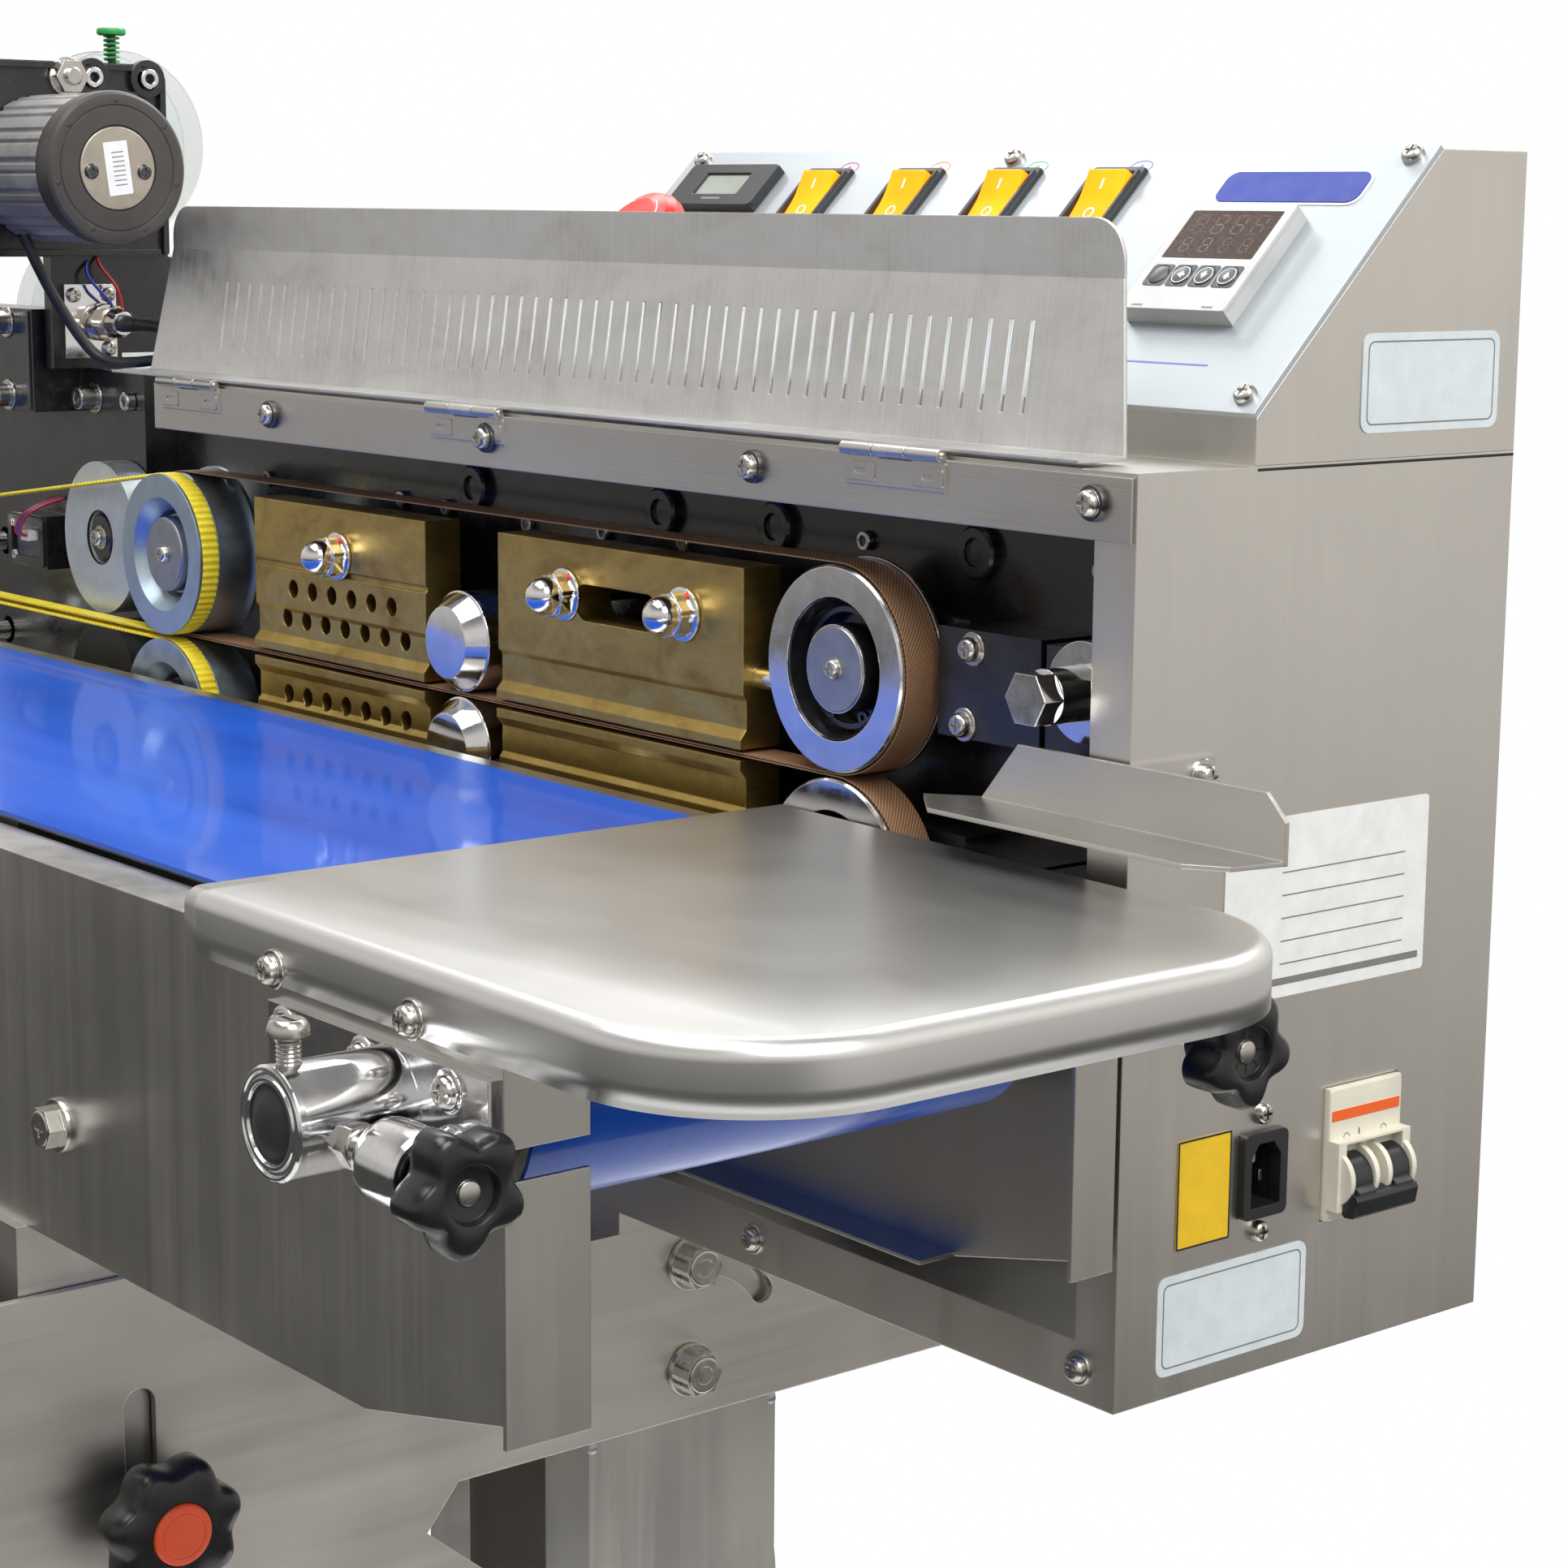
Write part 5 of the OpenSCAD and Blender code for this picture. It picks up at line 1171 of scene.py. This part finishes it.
def make_idler_hub(name, z):
    """Dark recess, hub disc and circlip of an idler wheel."""
    idler, frame = Piece(), at(IDLER_X, 8.5, z)
    circlip = [(19.5, -8), (21.4, -8), (21.6, -7), (21.4, -6.4), (19.5, -6.4), (19.3, -7), (19.5, -8)]
    for look, profile in (("black", [(22.6, -11.5), (24.2, -0.6), (24.6, -0.15)]),
                          ("black", [(15.7, -11.8), (23.2, -11.8)]),
                          ("black", [(15.6, -11.8), (15.6, -1.6), (14.9, -0.9)]),
                          ("dull_steel", [(14.9, -0.9), (14.6, -0.5), (0, -0.5)]),
                          ("dark_steel", circlip)):
        idler.lathe(look, frame, profile, 64)
    for t in (-118, -62):
        idler.slab("dark_steel", turned(frame, t), circle(2.4, 20, 18.6), -8, -6.2,
                   holes=[circle(1.1, 16, 18.6)])
    idler.screw(moved(frame, 0, 0, -0.5), 3.8, 2.6)
    idler.done(f"idler_hub_{name}", f"idler_wheel_{name}", slot="chrome")


def make_drive_hub(name, z):
    """Hub disc in the dark groove of a drive wheel."""
    drive, frame = Piece(), at(DRIVE_X, -2, z)
    drive.lathe("dull_steel", frame, [(18.2, -8.9), (16.9, -8.8), (16.7, -2.2), (16.0, -1.6), (0, -1.6)], 64)
    drive.lathe("dark_steel", frame, [(18.0, -8.4), (20.4, -6.3)], 64)
    drive.screw(moved(frame, 0, 0, -1.6), 3.8, 2.6)
    drive.done(f"drive_hub_{name}", f"drive_wheel_{name}", slot="chrome")


def make_wheel_details():
    """Hub discs, dark recesses and centre screws that turn with each wheel."""
    for name, z in (("upper", UPPER_Z), ("lower", LOWER_Z)):
        make_idler_hub(name, z)
        make_drive_hub(name, z)
    for name, z in (("upper", 206.0), ("lower", 163.0)):
        roller = Piece()
        roller.lathe("chrome", at(-389, 2.5, z), [(0, 0.15), (13.4, 0.15), (14.4, 0.0), (14.6, -0.6)], 64)
        roller.done(f"press_face_{name}", f"pressure_roller_{name}", slot="chrome")
    for name, z in PULLEY_Z.items():
        pulley = Piece()
        pulley.screw(at(PULLEY_X, 0, z), 5.2, 3.4, "socket")
        pulley.done(f"pulley_screw_{name}", f"guide_pulley_{name}", bevel=0.2, slot="chrome")
    disc = Piece()
    disc.lathe("black", at(-706, 14, 221), [(12.9, 0.12), (11.4, -6.4), (10.6, -6.8), (10.4, -1.2),
                                            (9.8, -0.6), (0, -0.6)], 48)
    disc.screw(at(-706, 14.6, 221), 4.2, 3.0, washer=0.8)
    disc.done("print_hub", "print_wheel", slot="chrome")
    inker = Piece()
    inker.lathe("dark_steel", at(-706, 14, 148), [(13.2, 0.15), (11.8, 0.1), (10.2, -0.8), (9.6, 0.3),
                                                  (0, 0.3)], 48)
    inker.screw(at(-706, 13.7, 148), 4.2, 2.8)
    inker.done("inker_hub", "rubber_roller", slot="chrome")


def make_block_details():
    """Polished acorn caps with their flanges and paint marks, and the screws in the dark plate."""
    piece = Piece()
    top = [(7.4 * math.cos(a), 9.8 + 7.6 * math.sin(a)) for a in map(math.radians, range(12, 73, 12))]
    dome = [(7.35, 7.6), (7.4, 9.6), *top, (0.8, 17.5), (0, 17.5)]
    for mirror in (1, -1):
        z = NIP_Z + mirror * (232 - NIP_Z)
        for x in (-316, -241, -482):
            frame = at(x, 10, z)
            piece.lathe("chrome", frame, [(9.6, 0), (10.2, 0.2), (10.2, 1.3), (9.6, 1.6), (6, 1.6)], 40)
            piece.slab("chrome", frame, hexagon(15.6, 0.26), 1.5, 7.6)
            piece.lathe("chrome", frame, dome, 48)
            piece.lathe("cap_red", at(x + 4.4, 8.0, z + mirror * 7.0),
                        [(0, 1.4), (1.1, 1.0), (1.5, 0), (1.2, -1)], 12)
    piece.done("acorn_nuts", "head", bevel=0.3, slot="chrome")
    plate, plate_y = Piece(), 46
    for x, z in ((-600, 254.8), (-487, 254), (-452, 253), (-392, 251), (-339, 252), (-287, 252), (-180, 262),
                 (-60, 262)):
        plate.screw(at(x, plate_y, z), 3.6, 2.8, "socket")
    for x in (-430, -300, -230, -120):
        plate.lathe("black", at(x, plate_y, 263), [(9.5, 0), (9.5, 3), (8.5, 4), (5, 4), (4.6, 2.6),
                                                   (0, 2.6)], 40)
    for mirror in (1, -1):
        for x, dz in ((-94.7, 12.7), (-98.5, -13.2)):
            z = NIP_Z + mirror * (UPPER_Z + dz - NIP_Z)
            plate.screw(at(x, 20, z), 4.3, 3.6, washer=0.8)
        for dz in (-14, 14):
            plate.screw(at(-39, 15, NIP_Z + mirror * (UPPER_Z + 6 + dz * 0.85 - NIP_Z)), 2.3, 1.6)
    plate.done("plate_screws", "head", bevel=0.12, slot="zinc")


# coder ------------------------------------------------------------------------

MOTOR_Y, MOTOR_Z, MOTOR_R, MOTOR_END, CASTING_FACE = 7.0, 393.0, 34.0, -664.0, -740.0
LEAD = [(-714, 34, 321), (-704, 34, 321), (-692, 35, 321), (-678, 38, 320), (-662, 44, 318), (-645, 49, 317),
        (-625, 54, 315), (-603, 59, 313), (-580, 64, 311), (-556, 69, 310), (-532, 74, 310), (-508, 80, 311),
        (-484, 88, 313), (-462, 97, 317), (-442, 105, 323), (-424, 109, 328), (-413, 110, 330),
        (-405.1, 110, 330)]
MOTOR_LEAD = [(-722, -12, 362), (-721, -9, 354), (-720, -5, 345), (-719, 0, 335), (-718, 6, 325),
              (-716, 12, 315), (-713, 18, 307), (-708, 24, 303.5), (-700, 32, 303.5), (-692, 40, 304.5),
              (-682, 50, 303.5), (-670, 58, 301), (-656, 62, 296), (-643, 64, 290), (-632, 65, 282),
              (-624, 66, 272)]


def make_motor():
    """Ribbed motor body, its end shield with dimples and the plate in the middle."""
    piece = Piece()
    grooves = [1.2 if k % 12 in (3, 4, 8) else 0.0 for k in range(180)]
    outline = [(x * (MOTOR_R - g), y * (MOTOR_R - g)) for (x, y), g in zip(circle(1, 180), grooves)]
    body = at(0, MOTOR_Y, MOTOR_Z, SIDE)
    piece.loft("motor", body, outline, [(0.97, CASTING_FACE), (1, CASTING_FACE + 1), (1, MOTOR_END - 14.5),
                                        (0.985, MOTOR_END - 14)])
    shield = at(MOTOR_END, MOTOR_Y, MOTOR_Z, SIDE)
    piece.lathe("motor_cap", shield, [(0, -14.2), (33.4, -14.2), (34.0, -13.6), (34.2, -11), (34.7, -10.4),
                                      (34.8, -3.2), (34.4, -1.4), (33.0, -0.3), (31.0, 0), (28.6, -0.1),
                                      (28.2, -0.6), (27.8, -0.1), (19.4, 0), (19.0, -0.9), (0, -0.9)], 96)
    for x, y in circle(30.4, 7, start=math.pi / 2):
        piece.lathe("dark_steel", moved(shield, x, y, 0), [(1.1, 0.03), (0.9, -0.3), (0, -0.4)], 12)
    piece.done("motor_body", "head", replaces=["coder_motor"], sharp=28, slot="motor")
    plate = Piece()
    plate.lathe("plate_beige", shield, [(18.6, -0.9), (18.6, -0.1), (18.2, 0.15), (0, 0.15)], 64)
    sticker = turned(shield, 7)
    plate.slab("label_white", sticker, rounded(12, 24, 0.8), 0.1, 0.35)
    for k in range(8):
        plate.slab("ink_grey", sticker, rounded(6, 0.5, 0.1, 0.6, 7.2 - 2.1 * k, 1), 0.33, 0.4)
    for x in (-13.2, 13.2):
        plate.screw(moved(shield, x, -1.5, 0.1), 3.5, 1.4, look="dark_steel")
    plate.done("motor_plate", "head", slot="motor")


PIN_FOOT, SPRING_R = (-744, 47, 443), 3.4


def make_casting():
    """Ribs and bosses of the black coder casting, its bright sleeves, nut and spring pin, and its screws."""
    piece = Piece()
    face = at(CASTING_FACE, 0, 0, SIDE)
    for y, z, w, h in ((4, 441, 126, 3), (70, 395, 3, 84), (-58.5, 398, 3, 88), (4, 354, 126, 3)):
        piece.slab("black", face, rounded(w, h, 1, y, z, 2), -0.5, 3)
    for y in (33, 62):
        piece.slab("black", face, circle(9, 32, y, 436), -0.5, 3.4, holes=[circle(5.5, 32, y, 436)])
        piece.lathe("chrome", at(CASTING_FACE + 5, y, 436, SIDE),
                    [(4.6, -5), (4.7, 0.2), (4.3, 0.6), (2.6, 0.6), (2.2, -0.2), (2.2, -4)], 32)
    piece.slab("black", face, [(38, 422), (54, 422), (58, 430), (34, 430)], -0.5, 3)
    nut = at(CASTING_FACE, 21, 436, SIDE)
    piece.lathe("screw", nut, [(9.4, 0), (9.4, 1.2), (9, 1.5), (5, 1.5)], 32)
    piece.slab("screw", nut, hexagon(14.6), 1.5, 6.6)
    piece.lathe("screw", nut, [(4.2, 6.6), (4.2, 8.4), (3.6, 9), (0, 9)], 24)
    x, y, z = PIN_FOOT
    pin = at(*PIN_FOOT, TOP, BACK)
    piece.lathe("green", pin, [(0, 13.4), (6.6, 13.4), (6.9, 14), (6.9, 15.6), (6.4, 16.4), (0, 16.4)], 32)
    coils = [Vector((x + SPRING_R * math.cos(t), y + SPRING_R * math.sin(t),
                     z + 0.6 + 13 * t / (math.tau * 6)))
             for t in (math.tau * 6 * k / 144 for k in range(145))]
    piece.tube("green", coils, 0.55, 8)
    piece.done("casting_details", "head", bevel=0.25, slot="black_metal")
    block = Piece()
    for z in (285, 320):
        for x in (-779, -838):
            block.screw(at(x, 5, z), 5.6, 7.0, "socket", washer=1.0)
    block.screw(at(-738, 30, 285), 5.6, 9.0, "socket", washer=1.0)
    for x, z in ((-700, 285), (-700, 108), (-846, 108)):
        block.screw(at(x, 30, z), 4.4, 5.0, "socket")
    for x in (-846, -756):
        block.box("black", (x - 1.5, 4.2, 279), (x + 1.5, 6, 326))
    block.done("coder_screws", "head", bevel=0.25, slot="zinc")


def make_gland():
    """Bracket screws, gland nut with clamping fingers, the wires beside it and the sensor's cover."""
    piece = Piece()
    for y, z in ((19.5, 334), (37.5, 334), (37.5, 308.5)):
        piece.screw(at(-737, y, z, SIDE), 3.6, 2.4)
    gland = at(-737, 34, 321, SIDE)
    piece.lathe("old_chrome", gland, [(8.6, 0), (9, 0.6), (9, 5), (8.4, 6)], 40)
    piece.slab("old_chrome", gland, hexagon(14.8, 0.2), 6, 13.6)
    piece.lathe("old_chrome", gland, [(7.0, 13.6), (7.2, 14.4), (6.9, 17), (6.0, 20), (5.2, 22.6), (4.4, 23),
                                      (3.2, 23)], 40)
    for k in range(8):
        piece.box("dark_steel", (5.5, -0.35, 16.5), (7.1, 0.35, 21.5), turned(gland, 45 * k))
    box_gland = at(-396, 110, 330, (-1, 0, 0))
    piece.lathe("black_plastic", box_gland, [(7.5, 0), (7.5, 2.5), (5.6, 3), (5.4, 8), (4.6, 9.4),
                                             (3.1, 9.6)], 32)
    piece.lathe("lead", at(-714, 34, 321, SIDE), [(3.0, 0), (4.0, 0.2), (3.8, 6), (3.1, 14), (3.0, 14)], 20)
    piece.done("gland_details", "head", bevel=0.2, slot="chrome")
    wires = Piece()
    blue = [(-742, 30, 352), (-735, 26, 344), (-730, 30, 336), (-731, 36, 330), (-736, 42, 322)]
    red = [(-742, 34, 354), (-734, 33, 347), (-729, 38, 338), (-731, 42, 328), (-737, 46, 318)]
    for look, points in (("wire_blue", blue), ("wire_red", red)):
        wires.tube(look, smooth_route(points, 6), 0.8, 8)
    plug = at(-786, 15.8, 213)
    wires.slab("label_white", plug, rounded(9, 5, 0.6, 6, 3), -0.5, 4.5)
    for k, look in enumerate(("wire_red", "wire_blue", "wire_red")):
        x = -782.6 + 2.4 * k
        points = [(x, 13.4, 216), (x, 9, 216.6), (x + 1, 7.4, 220), (x + 3, 10, 226), (x + 5, 18, 231),
                  (x + 6, 29, 234)]
        wires.tube(look, smooth_route(points), 0.75, 8)
    wires.done("sensor_wires", "head", slot="black_plastic")
    sensor = Piece()
    sensor.slab("black_plastic", at(-786, 16, 213), rounded(38, 24, 2), -1, 1.6, holes=[rounded(30, 16, 1.4)])
    sensor.screw(at(-799, 15.8, 221), 2.6, 1.8)
    sensor.screw(at(-799, 15.8, 205), 2.6, 1.8)
    sensor.done("sensor_cover", "head", bevel=0.3, slot="black_plastic")


def make_leads():
    """The coder's two leads, each from its gland back into the machine."""
    for name, route, r in (("control_lead", LEAD, 3.0), ("motor_lead", MOTOR_LEAD, 2.6)):
        piece = Piece()
        line = smooth_route(route)
        piece.tube("lead", line, r, 16)
        made = piece.done(name, "head", replaces=["coder_cables"], slot="black_plastic")


def make_reels():
    """Clear ribbon reels: two thin discs with beaded rims on a hub with a coloured ring."""
    for name, (x, y, z), look in (("upper", (-775, 57, 405), "cream"), ("lower", (-845, 87, 321), "green")):
        reel = Piece()
        frame = at(x, y, z, SIDE)
        for h in (0, 16.8):
            disc = [(12.6, 0), (43.8, 0), (44.4, -0.2), (45, 0.2), (45, 1.0), (44.4, 1.4), (43.8, 1.2),
                    (12.6, 1.2)]
            reel.lathe("clear", moved(frame, 0, 0, h), disc, 72)
        reel.lathe("clear", frame, [(4.1, 0), (12.8, 0), (13, 0.3), (13, 17.7), (12.8, 18), (4.1, 18),
                                    (4.1, 0)], 48)
        reel.lathe(look, frame, [(13.2, 1.4), (15.2, 1.4), (15.2, 16.6), (13.2, 16.6), (13.2, 1.4)], 48)
        reel.done(f"{name}_reel_discs", f"{name}_reel", replaces=[f"{name}_reel"], slot="clear")


# stand and yoke ---------------------------------------------------------------

def make_stand_details():
    """Heads of the tilt bolts, and the rows of spot welds down the column."""
    bolts = Piece()
    for z in (-75, -31):
        for x, way in ((-278.3, 1), (-405.7, -1)):
            bolts.bolt(at(x, 42, z, (way, 0, 0)), 15.6, 7.4, 11, 2.2, mark=False)
    bolts.done("tilt_bolt_heads", "stand", bevel=0.35, slot="zinc")
    welds, spot = Piece(), [(0, 0.5), (1.8, 0.4), (2.6, 0)]
    for y in (-1, 88):
        for k in range(6):
            welds.lathe("dull_steel", at(-284.2, y, -100 - 110 * k, SIDE), spot, 16)
    welds.done("spot_welds", "stand", slot="frame_steel")


MAKERS = (make_tray, make_clamp_knob, make_takeup, make_conveyor_screws, make_cabinet_screws,
          make_hinge_leaves, make_labels, make_inlet, make_breaker, make_panel_marks, make_controller_face,
          make_keys, make_rockers, make_estop, make_bands, make_guide_belts, make_wheel_details,
          make_block_details, make_motor, make_casting, make_gland, make_leads, make_reels,
          make_stand_details, make_star_knobs)
for maker in MAKERS:
    maker()


# studio -----------------------------------------------------------------------

def make_world():
    """Pale studio: bright behind and beside the machine, and dark low down in front of it.

    The camera itself sees plain white, so the machine stands on a white ground.
    """
    world = bpy.data.worlds.new("studio")
    bpy.context.scene.world = world
    world.use_nodes = True
    tree = world.node_tree
    backdrop = tree.nodes["Background"]
    backdrop.inputs[0].default_value = (1, 1, 1, 1)
    backdrop.inputs[1].default_value = 1.0

    def node(kind, inputs, **props):
        return add_node(tree, kind, inputs, **props).outputs[0]

    def span(value, low, high, new_low, new_high):
        inputs = span_inputs(value, low, high, new_low, new_high)
        return node("ShaderNodeMapRange", inputs, interpolation_type="SMOOTHSTEP")

    def calc(operation, *values):
        return node("ShaderNodeMath", enumerate(values), operation=operation)

    direction = add_node(tree, "ShaderNodeTexCoord").outputs["Generated"]
    way = add_node(tree, "ShaderNodeSeparateXYZ", {0: direction}).outputs
    behind = span(way[1], -0.30, 0.20, 0.0, 1.0)
    front_level = span(way[2], -0.185, -0.03, 0.075, 0.56)
    side_level = span(way[2], -0.42, -0.10, 0.07, 0.80)
    glow = span(way[2], 0.02, 0.24, 1.0, 1.3)
    overhead = span(way[2], 0.42, 0.80, 1.0, 0.3)
    around = calc("MULTIPLY_ADD", behind, calc("SUBTRACT", side_level, front_level), front_level)
    level = calc("MULTIPLY", calc("MULTIPLY", around, glow), overhead)
    room = node("ShaderNodeBackground", {"Color": (1.0, 0.97, 0.93, 1), "Strength": level})
    seen = add_node(tree, "ShaderNodeLightPath").outputs["Is Camera Ray"]
    both = node("ShaderNodeMixShader", {0: seen, 1: room, 2: backdrop.outputs[0]})
    tree.links.new(both, tree.nodes["World Output"].inputs[0])


def softbox(name, where, target, size, power):
    """Rectangular area light aimed at a target."""
    light = bpy.data.lights.new(name, "AREA")
    light.shape = "RECTANGLE"
    light.size, light.size_y = size
    light.energy = power
    made = link(name, light)
    made.location = where
    made.rotation_euler = (Vector(target) - Vector(where)).to_track_quat("-Z", "Y").to_euler()


FLOOR_R, FLOOR_SIDES = 0.95, 64


def make_studio():
    """Round pale floor, the room's light and three softboxes."""
    mesh = bpy.data.meshes.new("floor")
    corners = [(x, y, 0) for x, y in circle(FLOOR_R, FLOOR_SIDES)]
    mesh.from_pydata(corners, [], [list(range(FLOOR_SIDES))])
    floor = link("floor", mesh)
    g = Graph("floor_paint", (0.86, 0.86, 0.86), roughness=0.6)
    g.tones(g.noise(40, 3, 0.6), (0.3, (0.84, 0.84, 0.84)), (0.7, (0.88, 0.88, 0.88)))
    mesh.materials.append(g.material)
    make_world()
    middle = place(-300, 0, 150)
    softbox("key_light", place(1500, -300, 1900), middle, (1.3, 1.3), 45)
    softbox("top_light", place(-500, -700, 2300), middle, (2.0, 1.0), 40)
    softbox("backdrop_light", place(-1200, 1600, 1900), place(-2200, 2600, -700), (2.5, 2.5), 160)
    bpy.context.scene.view_settings.view_transform = "Standard"


make_studio()
